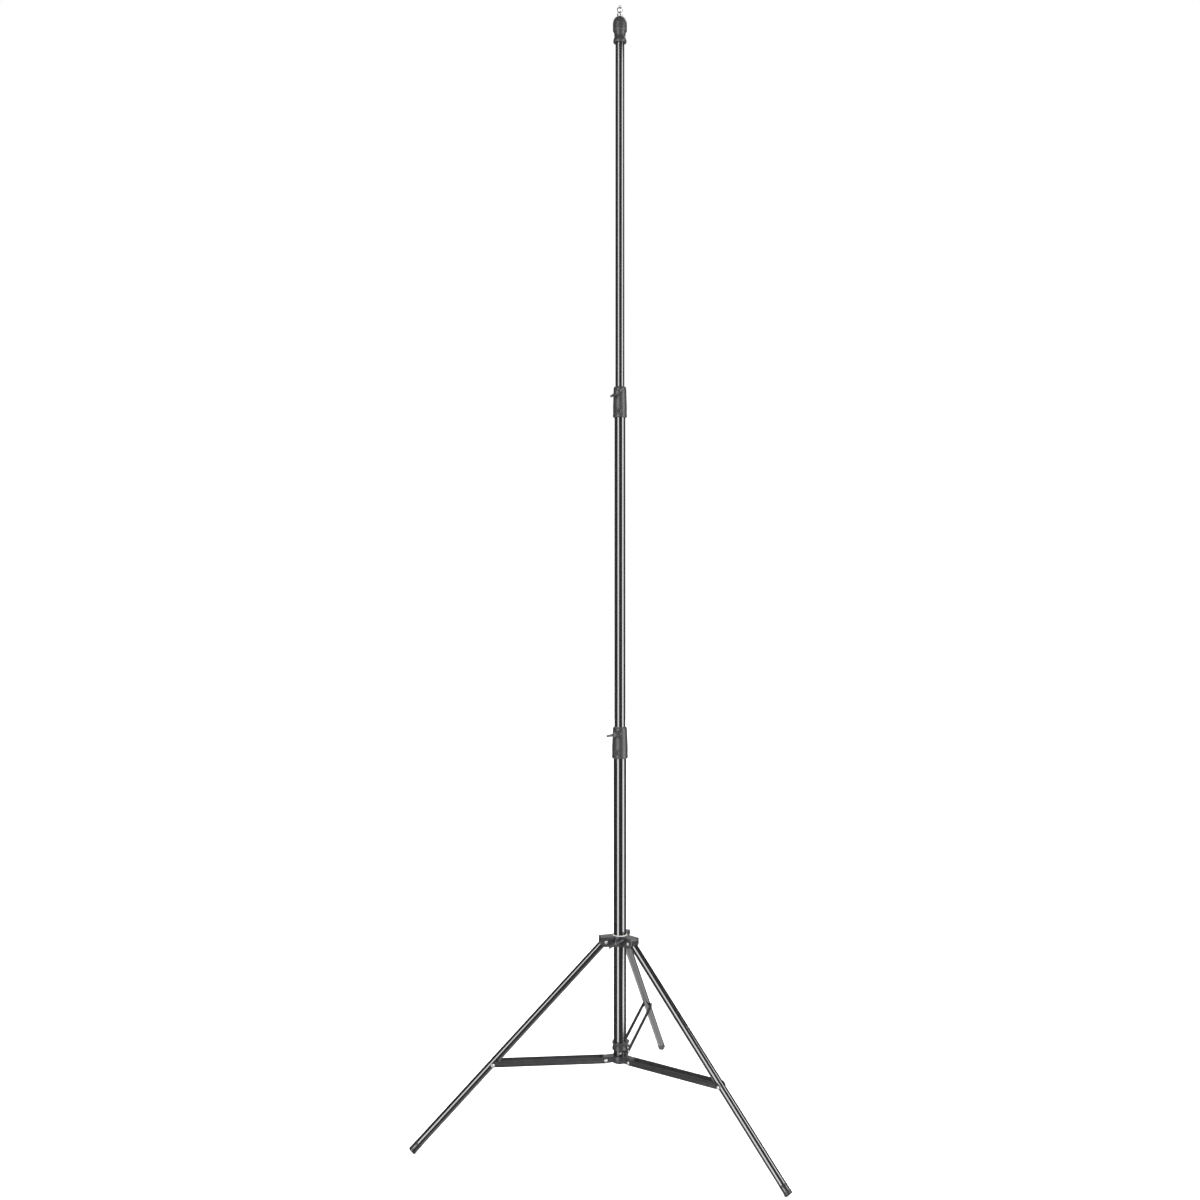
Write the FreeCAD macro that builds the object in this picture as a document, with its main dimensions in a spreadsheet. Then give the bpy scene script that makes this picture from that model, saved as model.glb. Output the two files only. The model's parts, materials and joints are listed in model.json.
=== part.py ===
"""Three-section telescopic lighting stand: a folding tripod base, two clamped extensions and a 5/8 inch spigot.

Frame: millimetres, +Z up, origin on the floor at the column's axis. Leg C points along +Y, leg A and leg B lie
120 degrees either side of it, and the clamp handle of the upper hub faces -Y.
"""

import FreeCAD, Part
import math
import os
import re

import Sketcher
from FreeCAD import Placement, Rotation, Vector

# Driving dimensions in millimetres and degrees.
SIZES = {
    # Column tubes
    "outer_r": 17.5,
    "outer_wall": 1.5,
    "outer_bottom": 180.0,
    "outer_top": 1066.0,
    "middle_r": 15.0,
    "middle_wall": 1.5,
    "middle_bottom": 1039.0,
    "middle_top": 2008.0,
    "upper_r": 12.5,
    "upper_wall": 1.2,
    "upper_bottom": 1950.0,
    "upper_top": 3044.0,
    "slide_gap": 0.3,
    "seat_gap": 0.05,
    # Collars that clamp one tube to the next
    "collar_bottom": 1017.6,
    "collar_top": 1104.3,
    "collar_foot_r": 22.0,
    "collar_mouth_r": 19.4,
    "collar_screw_z": 1086.0,
    "collar_bolt_z": 1035.0,
    "top_collar_bottom": 1958.7,
    "top_collar_top": 2044.1,
    "top_collar_foot_r": 19.4,
    "top_collar_mouth_r": 17.4,
    "top_collar_screw_z": 2025.0,
    "top_collar_bolt_z": 1975.0,
    "bush_wall": 1.2,
    "boss_r": 8.5,
    "bolt_r": 2.0,
    "bolt_head_r": 4.5,
    "bolt_head_height": 2.6,
    # Clamp handles
    "screw_r": 3.95,
    "tee_half_span": 25.0,
    "tee_hub_r": 7.5,
    "tee_height": 13.0,
    "tee_wing_thick": 7.0,
    "tee_socket": 8.0,
    "hub_tee_base": 33.0,
    "lower_tee_base": 25.5,
    "upper_tee_base": 23.0,
    "shoe_thick": 3.0,
    # Upper hub
    "hub_z": 516.0,
    "hub_bottom": 502.0,
    "hub_top": 529.5,
    "hub_ring_r": 24.5,
    "hub_boss_reach": 32.0,
    "pivot_r": 44.0,
    "arm_reach": 56.5,
    "arm_half_width": 16.0,
    "arm_gap": 21.6,
    "arm_web": 2.5,
    "pin_r": 3.0,
    "pin_head_r": 4.2,
    "pin_head_height": 1.8,
    # Lower hub
    "foot_hub_z": 190.7,
    "foot_ring_r": 22.5,
    "ear_width": 22.4,
    "ear_r": 8.0,
    "stop_bottom": 213.6,
    "stop_top": 236.3,
    "stop_r": 21.5,
    "stop_lug": 8.0,
    "stop_screw_r": 2.0,
    # Legs
    "leg_r": 10.5,
    "leg_wall": 1.2,
    "leg_length": 732.0,
    "leg_spread": 46.04,
    "leg_start": 14.0,
    "boot_r": 11.0,
    "boot_end": 734.5,
    "boot_length": 27.0,
    # Braces
    "brace_joint": 437.0,
    "brace_height": 16.0,
    "brace_thick": 2.0,
    "brace_tip": 6.0,
    "brace_tip_drop": 5.5,
    "brace_cut_back": 12.6,
    "brace_cut_rise": 10.0,
    "brace_gap": 23.0,
    # Cap and spigot
    "cap_bottom": 2994.0,
    "cap_top": 3067.0,
    "stud_r": 7.94,
    "stud_top": 3091.0,
    "thread_r": 3.175,
    "total_height": 3100.0,
}

LEG_AZIMUTHS = {"a": 210.0, "b": 330.0, "c": 90.0}

doc = FreeCAD.newDocument("LightingStand")
sheet = doc.addObject("Spreadsheet::Sheet", "Sizes")
for row, (alias, value) in enumerate(SIZES.items(), start=1):
    sheet.set(f"A{row}", alias)
    sheet.set(f"B{row}", str(value))
    sheet.setAlias(f"B{row}", alias)
doc.recompute()

pieces = []


def bound(text):
    """Turn a formula in aliases, such as "leg_r - leg_wall", into a spreadsheet expression."""
    return re.sub(r"[a-z][a-z_]+", lambda m: "Sizes." + m.group(0) if m.group(0) in SIZES else m.group(0), str(text))


def size(alias):
    return float(getattr(sheet, alias))


def brace_span():
    """Pivot-to-pivot length of a brace, and how far it rises from its hub pivot."""
    spread = math.radians(size("leg_spread"))
    run = size("brace_joint") * math.sin(spread)
    rise = size("hub_z") - size("brace_joint") * math.cos(spread) - size("foot_hub_z")
    return math.hypot(run, rise), math.degrees(math.atan2(rise, run))


# ---------------------------------------------------------------- building blocks


def new_body(label, placement=None):
    body = doc.addObject("PartDesign::Body", label)
    body.Label = label
    if placement is not None:
        body.Placement = placement
    pieces.append(body)
    return body


def new_sketch(body, role, lift=None):
    sketch = body.newObject("Sketcher::SketchObject", body.Name + "_sketch")
    plane = next(f for f in body.Origin.OriginFeatures if f.Role == role)
    sketch.AttachmentSupport = [(plane, "")]
    sketch.MapMode = "FlatFace"
    if lift is not None:
        sketch.setExpression(".AttachmentOffset.Base.z", bound(lift))
    return sketch


def fix(sketch, kind, *where, to):
    index = sketch.addConstraint(Sketcher.Constraint(kind, *where, 10.0))
    sketch.setExpression(f"Constraints[{index}]", bound(to))


def polygon(body, role, points, lift=None):
    """Closed sketch through points given as pairs of formulas, every corner held from the sketch's origin."""
    sketch = new_sketch(body, role, lift)
    count = len(points)
    start = [Vector(30 * math.cos(-2 * math.pi * i / count), 30 * math.sin(-2 * math.pi * i / count), 0)
             for i in range(count)]
    for i in range(count):
        sketch.addGeometry(Part.LineSegment(start[i], start[(i + 1) % count]), False)
    for i in range(count):
        sketch.addConstraint(Sketcher.Constraint("Coincident", i, 2, (i + 1) % count, 1))
    for i, (across, up) in enumerate(points):
        fix(sketch, "DistanceX", -1, 1, i, 1, to=across)
        fix(sketch, "DistanceY", -1, 1, i, 1, to=up)
    return sketch


def rectangle(body, role, left, right, low, high, lift=None):
    return polygon(body, role, [(left, low), (right, low), (right, high), (left, high)], lift)


def circle(body, role, across, up, radius, lift=None):
    sketch = new_sketch(body, role, lift)
    sketch.addGeometry(Part.Circle(Vector(20, 20, 0), Vector(0, 0, 1), 5), False)
    fix(sketch, "DistanceX", -1, 1, 0, 3, to=across)
    fix(sketch, "DistanceY", -1, 1, 0, 3, to=up)
    fix(sketch, "Radius", 0, to=radius)
    return sketch


def revolve(body, points):
    """Turn an outline of (radius, height) formulas about the body's Z axis."""
    feature = body.newObject("PartDesign::Revolution", body.Name + "_turned")
    feature.Profile = polygon(body, "XZ_Plane", points)
    feature.ReferenceAxis = (feature.Profile[0], ["V_Axis"])
    feature.Angle = 360
    doc.recompute()
    return feature


def pad(body, sketch, length, midplane=False, reverse=False):
    feature = body.newObject("PartDesign::Pad", body.Name + "_pad")
    feature.Profile = sketch
    feature.Midplane = midplane
    feature.Reversed = reverse
    feature.setExpression("Length", bound(length))
    doc.recompute()
    return feature


def pocket(body, sketch, length=None, midplane=True, reverse=False):
    """Cut a sketch out of the body, through all of it unless a length is given."""
    before = body.Shape.Volume
    feature = body.newObject("PartDesign::Pocket", body.Name + "_pocket")
    feature.Profile = sketch
    feature.Midplane = midplane
    feature.Reversed = reverse
    if length is None:
        feature.Type = "ThroughAll"
    else:
        feature.setExpression("Length", bound(length))
    doc.recompute()
    if body.Shape.Volume > before - 0.5:
        raise RuntimeError(f"{body.Label}: a pocket cuts nothing")
    return feature


def around(body, features, count=3):
    """Repeat features evenly about the body's Z axis."""
    pattern = body.newObject("PartDesign::PolarPattern", body.Name + "_pattern")
    axis = next(f for f in body.Origin.OriginFeatures if f.Role == "Z_Axis")
    pattern.Originals = features
    pattern.Axis = (axis, [""])
    pattern.Angle = 360
    pattern.Occurrences = count
    body.Tip = pattern
    doc.recompute()
    return pattern


def soften(body, radius, chosen):
    """Fillet the edges of the body's tip for which chosen(edge) holds."""
    base = body.Tip
    names = [f"Edge{i}" for i, edge in enumerate(base.Shape.Edges, start=1) if chosen(edge)]
    if not names:
        raise RuntimeError(f"{body.Label}: no edges to round")
    feature = body.newObject("PartDesign::Fillet", body.Name + "_fillet")
    feature.Base = (base, names)
    feature.setExpression("Radius", bound(radius))
    doc.recompute()
    return feature


def along_y(edge):
    """True for a straight edge that runs along the body's Y axis."""
    if len(edge.Vertexes) != 2 or edge.Curve.TypeId != "Part::GeomLine":
        return False
    return abs(edge.tangentAt(edge.FirstParameter).y) > 0.999


def tube(label, outer, inner, bottom, top, placement=None):
    """A straight tube with its two outer edges broken by half a millimetre."""
    body = new_body(label, placement)
    revolve(body, [
        (inner, bottom),
        (f"{outer} - 0.4", bottom),
        (outer, f"{bottom} + 0.4"),
        (outer, f"{top} - 0.4"),
        (f"{outer} - 0.4", top),
        (inner, top),
    ])
    return body


def cylinder(name, radius, length, placement):
    """A plain solid cylinder that starts at the placement's origin and runs along its Z axis."""
    solid = doc.addObject("Part::Cylinder", name)
    solid.setExpression("Radius", bound(radius))
    solid.setExpression("Height", bound(length))
    solid.Placement = placement
    return solid


def fused(label, solids):
    """Join solids into one piece."""
    union = doc.addObject("Part::MultiFuse", label)
    union.Label = label
    union.Shapes = solids
    doc.recompute()
    return union


def group(label, members):
    """One piece that holds several identical fasteners."""
    compound = doc.addObject("Part::Compound", label)
    compound.Label = label
    compound.Links = members
    doc.recompute()
    pieces.append(compound)
    return compound


# ---------------------------------------------------------------- frames


def radial_frame(azimuth, radius=0.0, height=0.0, tilt=0.0):
    """X points outwards at the azimuth, Z up, then everything turns by tilt degrees about Y."""
    turn = Placement(Vector(), Rotation(Vector(0, 0, 1), azimuth))
    lift = Placement(Vector(radius, 0, height), Rotation(Vector(0, 1, 0), tilt))
    return turn * lift


def outward_frame(azimuth, radius, height, roll=0.0):
    """Z points outwards at the azimuth, and X is the horizontal to the right of someone facing the piece."""
    angle = math.radians(azimuth)
    turn = math.radians(roll)
    out = Vector(math.cos(angle), math.sin(angle), 0)
    right = Vector(-math.sin(angle), math.cos(angle), 0)
    across = right * math.cos(turn) + Vector(0, 0, math.sin(turn))
    return Placement(out * radius + Vector(0, 0, height), Rotation(across, out.cross(across), out, "ZXY"))


def crosswise_frame(azimuth, radius, height, start):
    """Z runs sideways across a leg, from start millimetres to the right-hand side of its centre plane."""
    angle = math.radians(azimuth)
    out = Vector(math.cos(angle), math.sin(angle), 0)
    side = Vector(-math.sin(angle), math.cos(angle), 0)
    return Placement(out * radius + side * start + Vector(0, 0, height),
                     Rotation(out, side.cross(out), side, "ZXY"))


def through_rivet(name, azimuth, radius, height, half_grip, head):
    """A rivet across a leg's plane with a head at each end."""
    shank = cylinder(name + "_shank", "pin_r", 2 * half_grip, crosswise_frame(azimuth, radius, height, -half_grip))
    near = cylinder(name + "_near", "pin_head_r", head, crosswise_frame(azimuth, radius, height, -half_grip - head))
    far = cylinder(name + "_far", "pin_head_r", head, crosswise_frame(azimuth, radius, height, half_grip))
    return fused(name, [near, shank, far])


# ---------------------------------------------------------------- column


COLLAR_HANDLE_AZIMUTH = 259.5
TOP_COLLAR_HANDLE_AZIMUTH = 274.5
HUB_HANDLE_AZIMUTH = 270.0
FOOT_SCREW_AZIMUTH = 290.0
FOOT_SCREW_Z = 207.0
STOP_LUG_AZIMUTH = 50.0


def column_tube():
    body = tube("outer_tube", "outer_r", "outer_r - outer_wall", "outer_bottom", "outer_top")
    body.Placement = Placement(Vector(), Rotation(Vector(0, 0, 1), FOOT_SCREW_AZIMUTH))
    hole = circle(body, "YZ_Plane", 0, FOOT_SCREW_Z, 2.1)
    pocket(body, hole, length="outer_r + 5", midplane=False, reverse=True)


def column_end_plug():
    body = new_body("column_end_plug")
    inside = "outer_r - outer_wall - seat_gap"
    revolve(body, [
        (0, "outer_bottom - 3"),
        ("outer_r - 1.5", "outer_bottom - 3"),
        ("outer_r", "outer_bottom - 1.5"),
        ("outer_r", "outer_bottom"),
        (inside, "outer_bottom"),
        (inside, "outer_bottom + 8"),
        ("outer_r - outer_wall - 3", "outer_bottom + 8"),
        ("outer_r - outer_wall - 3", "outer_bottom"),
        (0, "outer_bottom"),
    ])


def lower_hub():
    """The fixed ring at the column's foot with three solid ears for the braces."""
    body = new_body("lower_hub", radial_frame(90.0))
    top = "foot_hub_z + ear_r"
    bottom = "outer_bottom - 1"
    revolve(body, [
        ("outer_r + seat_gap", bottom),
        ("foot_ring_r - 1", bottom),
        ("foot_ring_r", f"{bottom} + 1"),
        ("foot_ring_r", f"{top} - 1"),
        ("foot_ring_r - 1", top),
        ("outer_r + seat_gap", top),
    ])
    ear = pad(body, rectangle(body, "XZ_Plane", "outer_r + 2", "pivot_r", "foot_hub_z - ear_r", top),
              "ear_width", midplane=True)
    tip = pad(body, circle(body, "XZ_Plane", "pivot_r", "foot_hub_z", "ear_r"), "ear_width", midplane=True)
    hole = pocket(body, circle(body, "XZ_Plane", "pivot_r", "foot_hub_z", "pin_r + seat_gap"),
                  length="ear_width + 4")
    around(body, [ear, tip, hole])


def foot_screw():
    """Pan-head screw that pins the column above the lower hub."""
    place = outward_frame(FOOT_SCREW_AZIMUTH, 0, FOOT_SCREW_Z)
    inner = size("outer_r") - size("outer_wall") + 0.1
    shank = cylinder("foot_shank", 2.0, "outer_wall + 0.1", place * Placement(Vector(0, 0, inner), Rotation()))
    head = cylinder("foot_head", 3.6, 2.2, place * Placement(Vector(0, 0, size("outer_r") + 0.2), Rotation()))
    screw = fused("lower_hub_screw", [shank, head])
    pieces.append(screw)


def stop_ring():
    """Split clamp ring that stops the tripod's hub, with two ribs and a clamp screw."""
    body = new_body("stop_ring", radial_frame(STOP_LUG_AZIMUTH))
    revolve(body, [
        ("outer_r + seat_gap", "stop_bottom"),
        ("stop_r - 0.8", "stop_bottom"),
        ("stop_r", "stop_bottom + 0.8"),
        ("stop_r", "stop_bottom + 6"),
        ("stop_r - 1.6", "stop_bottom + 7.5"),
        ("stop_r - 1.6", "stop_top - 7.5"),
        ("stop_r", "stop_top - 6"),
        ("stop_r", "stop_top - 0.8"),
        ("stop_r - 0.8", "stop_top"),
        ("outer_r + seat_gap", "stop_top"),
    ])
    pad(body, rectangle(body, "XZ_Plane", "outer_r + 1.5", "stop_r + stop_lug", "stop_bottom + 1", "stop_top - 1"),
        10, midplane=True)
    pocket(body, rectangle(body, "XY_Plane", "outer_r - 2", "stop_r + stop_lug + 1", -1, 1), midplane=True)
    hole = circle(body, "XZ_Plane", "stop_r + stop_lug / 2", "(stop_bottom + stop_top) / 2", "stop_screw_r + 0.1")
    pocket(body, hole, length=14)


def stop_ring_screw():
    """Screw and nut that draw the stop ring's lugs together."""
    middle = (size("stop_bottom") + size("stop_top")) / 2
    radius = size("stop_r") + size("stop_lug") / 2
    shank = cylinder("stop_shank", "stop_screw_r", 12.5, crosswise_frame(STOP_LUG_AZIMUTH, radius, middle, -5.2))
    head = cylinder("stop_head", 3.6, 2.4, crosswise_frame(STOP_LUG_AZIMUTH, radius, middle, -7.4))
    nut = cylinder("stop_nut", 3.8, 2.4, crosswise_frame(STOP_LUG_AZIMUTH, radius, middle, 5.05))
    pieces.append(fused("stop_ring_screw", [head, shank, nut]))


def collar(label, frame_azimuth, keys):
    """Clamp collar: its foot is bolted to the lower tube and its mouth carries the bush and the clamp screw."""
    bottom, top, foot, mouth, screw_z, bolt_z, seat, step, throat = keys
    body = new_body(label, radial_frame(frame_azimuth))
    revolve(body, [
        (seat, bottom),
        (f"{foot} - 1.5", bottom),
        (foot, f"{bottom} + 1.5"),
        (foot, f"{bottom} + 30"),
        (f"({foot} + {mouth}) / 2", f"{top} - 34"),
        (mouth, f"{top} - 4"),
        (f"{mouth} - 2", top),
        (throat, top),
        (throat, step),
        (seat, step),
    ])
    pad(body, circle(body, "YZ_Plane", 0, screw_z, "boss_r", lift=f"{throat} + 1"), f"{foot} - ({throat}) + 2.5")
    pad(body, circle(body, "YZ_Plane", 0, bolt_z, "boss_r - 1.5", lift=f"{seat} + 1"), f"{foot} - ({seat}) + 0.8")
    pocket(body, circle(body, "YZ_Plane", 0, screw_z, "screw_r + 0.2"), length=60, midplane=False, reverse=True)
    pocket(body, circle(body, "YZ_Plane", 0, bolt_z, "bolt_r + 0.1"), length=60, midplane=False, reverse=True)
    pocket(body, circle(body, "YZ_Plane", 0, bolt_z, "bolt_head_r + 0.1", lift=f"{foot} - 0.8"), length=10,
           midplane=False, reverse=True)
    return body


def collar_bolt(label, azimuth, seat, foot, height):
    """Button-head bolt sunk in the collar's lower boss."""
    place = outward_frame(azimuth, 0, height)
    shank = cylinder(label + "_shank", "bolt_r", foot - 0.7 - seat, place * Placement(Vector(0, 0, seat), Rotation()))
    head = cylinder(label + "_head", "bolt_head_r", "bolt_head_height",
                    place * Placement(Vector(0, 0, foot - 0.8), Rotation()))
    pieces.append(fused(label, [shank, head]))


def bush(label, azimuth, inner, outer, bottom, top, screw_z):
    """Plastic guide bush with a window for the clamp shoe."""
    body = new_body(label, radial_frame(azimuth))
    revolve(body, [(inner, bottom), (outer, bottom), (outer, top), (inner, top)])
    pocket(body, circle(body, "YZ_Plane", 0, screw_z, "screw_r + 0.2"), length=60, midplane=False, reverse=True)
    return body


def shoe(label, azimuth, inner, height):
    """Brass pad between the clamp screw and the tube."""
    pad_solid = cylinder(label, "screw_r", "shoe_thick", outward_frame(azimuth, inner, height))
    pad_solid.Label = label
    pieces.append(pad_solid)


def rivet_ring(label, radius, height, half_grip, head):
    group(label, [through_rivet(f"{label}_{leg}", azimuth, radius, height, half_grip, head)
                  for leg, azimuth in LEG_AZIMUTHS.items()])


# ---------------------------------------------------------------- upper hub


def upper_hub():
    """Sliding hub: a ring with three channel arms that hold the legs' pivots, and a boss for the clamp screw."""
    body = new_body("upper_hub", radial_frame(90.0))
    bore = "outer_r + slide_gap + bush_wall"
    revolve(body, [
        (bore, "hub_bottom"),
        ("hub_ring_r - 1", "hub_bottom"),
        ("hub_ring_r", "hub_bottom + 1"),
        ("hub_ring_r", "hub_top - 1"),
        ("hub_ring_r - 1", "hub_top"),
        (bore, "hub_top"),
    ])
    arm = pad(body, rectangle(body, "XZ_Plane", f"{bore} + 2", "arm_reach", "hub_bottom + 1", "hub_top - 0.3"),
              "2 * arm_half_width", midplane=True)
    slot = pocket(body, rectangle(body, "XZ_Plane", "hub_ring_r + 3", "arm_reach - 2.5", "hub_bottom - 1",
                                  "hub_top - 0.3 - arm_web"), length="arm_gap")
    mouth = pocket(body, rectangle(body, "XZ_Plane", "arm_reach - 3", "arm_reach + 1", "hub_bottom - 1",
                                   "hub_z + 6"), length="arm_gap")
    corner = pocket(body, polygon(body, "XZ_Plane", [
        ("arm_reach - 9", "hub_bottom - 1"),
        ("arm_reach + 1", "hub_bottom - 1"),
        ("arm_reach + 1", "hub_bottom + 11"),
    ]), length="2 * arm_half_width + 4")
    hole = pocket(body, circle(body, "XZ_Plane", "pivot_r", "hub_z", "pin_r + seat_gap"),
                  length="2 * arm_half_width + 4")
    around(body, [arm, slot, mouth, corner, hole])
    pad(body, circle(body, "YZ_Plane", 0, "hub_z", "boss_r", lift=f"-({bore} + 2)"),
        f"hub_boss_reach - ({bore}) - 2", reverse=True)
    pocket(body, circle(body, "YZ_Plane", 0, "hub_z", "screw_r + 0.2"), length=60, midplane=False)


def hub_bush():
    """Nylon sleeve in the hub's bore, with a flange that shows on top."""
    body = new_body("hub_bush", radial_frame(HUB_HANDLE_AZIMUTH))
    inner = "outer_r + slide_gap"
    outer = "outer_r + slide_gap + bush_wall - seat_gap"
    revolve(body, [
        (inner, "hub_bottom"),
        (outer, "hub_bottom"),
        (outer, "hub_top"),
        ("hub_ring_r - 4.2", "hub_top"),
        ("hub_ring_r - 4.7", "hub_top + 2"),
        (inner, "hub_top + 2"),
    ])
    pocket(body, circle(body, "YZ_Plane", 0, "hub_z", "screw_r + 0.2"), length=60, midplane=False, reverse=True)


# ---------------------------------------------------------------- clamp handles


def handle(name, azimuth, base, height, inner, roll):
    """Two-winged clamp handle and its screw; base is where the casting starts, inner where the screw ends."""
    place = outward_frame(azimuth, base, height, roll)
    body = new_body(name + "_tee", place)
    revolve(body, [
        (0, 0),
        ("tee_hub_r - 1.5", 0),
        ("tee_hub_r - 1", 3),
        ("tee_hub_r", 6),
        ("tee_hub_r - 1", "tee_height - 2"),
        ("tee_hub_r - 3", "tee_height"),
        (0, "tee_height"),
    ])
    for side in ("", "-"):
        wing = polygon(body, "XZ_Plane", [
            (f"{side}(tee_hub_r - 4)", 4),
            (f"{side}(tee_half_span - 3)", 5),
            (f"{side}(tee_half_span)", 8),
            (f"{side}(tee_half_span - 1)", 12.5),
            (f"{side}(tee_half_span - 8)", 13.5),
            (f"{side}(tee_hub_r - 4)", "tee_height - 2.5"),
        ])
        pad(body, wing, "tee_wing_thick", midplane=True)
    pocket(body, circle(body, "XY_Plane", 0, 0, "screw_r + seat_gap"), length="tee_socket", midplane=False,
           reverse=True)
    screw = cylinder(name + "_screw", "screw_r", base - inner + size("tee_socket") - 0.1,
                     place * Placement(Vector(0, 0, inner - base), Rotation()))
    screw.Label = name + "_screw"
    pieces.append(screw)


# ---------------------------------------------------------------- legs and braces


def leg(name, azimuth):
    """Leg tube, its pivot knuckle with a sleeve, and the rubber boot, all built hanging down from the pivot."""
    place = radial_frame(azimuth, size("pivot_r"), size("hub_z"), -size("leg_spread"))
    tube(f"leg_{name}_tube", "leg_r", "leg_r - leg_wall", "-leg_length", "-leg_start", place)

    knuckle = new_body(f"leg_{name}_knuckle", place)
    revolve(knuckle, [
        (0, -45),
        ("leg_r - leg_wall - seat_gap", -45),
        ("leg_r - leg_wall - seat_gap", "-leg_start"),
        ("leg_r - 0.2", "-leg_start"),
        ("leg_r - 0.2", 0),
        (0, 0),
    ])
    pad(knuckle, circle(knuckle, "XZ_Plane", 0, 0, "leg_r - 0.5"), "arm_gap - 1.4", midplane=True)
    pocket(knuckle, circle(knuckle, "XZ_Plane", 0, 0, "pin_r + 1"))

    sleeve = new_body(f"leg_{name}_sleeve", place)
    pad(sleeve, circle(sleeve, "XZ_Plane", 0, 0, "pin_r + 1 - 0.02"), "arm_gap - 0.8", midplane=True)
    pocket(sleeve, circle(sleeve, "XZ_Plane", 0, 0, "pin_r + seat_gap"))

    boot = new_body(f"leg_{name}_boot", place)
    revolve(boot, [
        (0, "-boot_end"),
        ("boot_r - 1.2", "-boot_end"),
        ("boot_r", "-boot_end + 1.2"),
        ("boot_r", "boot_length - boot_end - 0.6"),
        ("boot_r - 0.5", "boot_length - boot_end"),
        ("leg_r + seat_gap / 2", "boot_length - boot_end"),
        ("leg_r + seat_gap / 2", "-leg_length"),
        (0, "-leg_length"),
    ])
    # The floor plane, seen from the leg, cuts a flat on the boot's lowest edge.
    floor_near = "-(hub_z - 30 * sin(leg_spread * 1deg)) / cos(leg_spread * 1deg)"
    floor_far = "-(hub_z + 30 * sin(leg_spread * 1deg)) / cos(leg_spread * 1deg)"
    under = polygon(boot, "XZ_Plane", [(-30, floor_near), (30, floor_far), (30, "-boot_end - 60"),
                                       (-30, "-boot_end - 60")])
    pocket(boot, under)


def brace(name, azimuth):
    """A pair of flat bars with stub rivets and washers where they meet the leg."""
    span, rise = brace_span()
    place = radial_frame(azimuth, size("pivot_r"), size("foot_hub_z"), -rise)
    inner = size("brace_gap") / 2
    outer = inner + size("brace_thick")
    for side, lift in (("left", inner), ("right", -outer)):
        body = new_body(f"brace_{name}_{side}", place * Placement(Vector(0, lift, 0), Rotation()))
        outline = polygon(body, "XZ_Plane", [
            ("-brace_height / 2", "-brace_height / 2"),
            (f"{span} + brace_tip / 2", "-brace_tip_drop"),
            (f"{span} + brace_tip", 1.5),
            (f"{span} - brace_cut_back", "brace_cut_rise"),
            ("-brace_height / 2", "brace_height / 2"),
        ])
        pad(body, outline, "brace_thick", reverse=True)
        soften(body, "brace_height / 2 - 0.5", lambda edge: along_y(edge) and edge.CenterOfMass.x < 0)
        soften(body, 3, lambda edge: along_y(edge) and edge.CenterOfMass.x > span - 10)
        pocket(body, circle(body, "XZ_Plane", 0, 0, "pin_r + seat_gap + 0.05"))
        pocket(body, circle(body, "XZ_Plane", span, 0, "pin_r + seat_gap"))

    joint = place * Placement(Vector(span, 0, 0), Rotation())
    turn_left = Rotation(Vector(1, 0, 0), -90)
    turn_right = Rotation(Vector(1, 0, 0), 90)
    stubs = []
    rings = []
    for side, turn, sign in (("left", turn_left, 1), ("right", turn_right, -1)):
        at = joint * Placement(Vector(0, sign * inner, 0), turn)
        shank = cylinder(f"stub_{name}_{side}_shank", "pin_r", "brace_thick", at)
        head = cylinder(f"stub_{name}_{side}_head", "pin_head_r", "pin_head_height",
                        joint * Placement(Vector(0, sign * outer, 0), turn))
        stubs.append(fused(f"stub_{name}_{side}", [shank, head]))
        rings.append(cylinder(f"washer_{name}_{side}", "2 * pin_r", 0.6,
                              joint * Placement(Vector(0, sign * (inner - 0.6), 0), turn)))
    group(f"brace_{name}_rivets", stubs)
    group(f"brace_{name}_washers", rings)


# ---------------------------------------------------------------- extensions


def piston(label, tube_r, wall, tube_bottom, bore, length):
    """Nylon cup on the lower end of a sliding tube."""
    body = new_body(label)
    skin = f"{bore} - slide_gap"
    mouth = f"{tube_r} - {wall}"
    revolve(body, [
        (mouth, f"{tube_bottom} - 5"),
        (f"{skin} - 0.4", f"{tube_bottom} - 5"),
        (skin, f"{tube_bottom} - 4"),
        (skin, f"{tube_bottom} + {length}"),
        (f"{tube_r} + seat_gap", f"{tube_bottom} + {length}"),
        (f"{tube_r} + seat_gap", tube_bottom),
        (mouth, tube_bottom),
    ])


def seal(label, tube_r, wall, tube_bottom, bore):
    """Rubber ring under the piston that damps a falling section."""
    body = new_body(label)
    skin = f"{bore} - slide_gap"
    revolve(body, [
        (f"{tube_r} - {wall}", f"{tube_bottom} - 9"),
        (f"{skin} - 1", f"{tube_bottom} - 9"),
        (skin, f"{tube_bottom} - 8"),
        (skin, f"{tube_bottom} - 6"),
        (f"{skin} - 1", f"{tube_bottom} - 5"),
        (f"{tube_r} - {wall}", f"{tube_bottom} - 5"),
    ])


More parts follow.
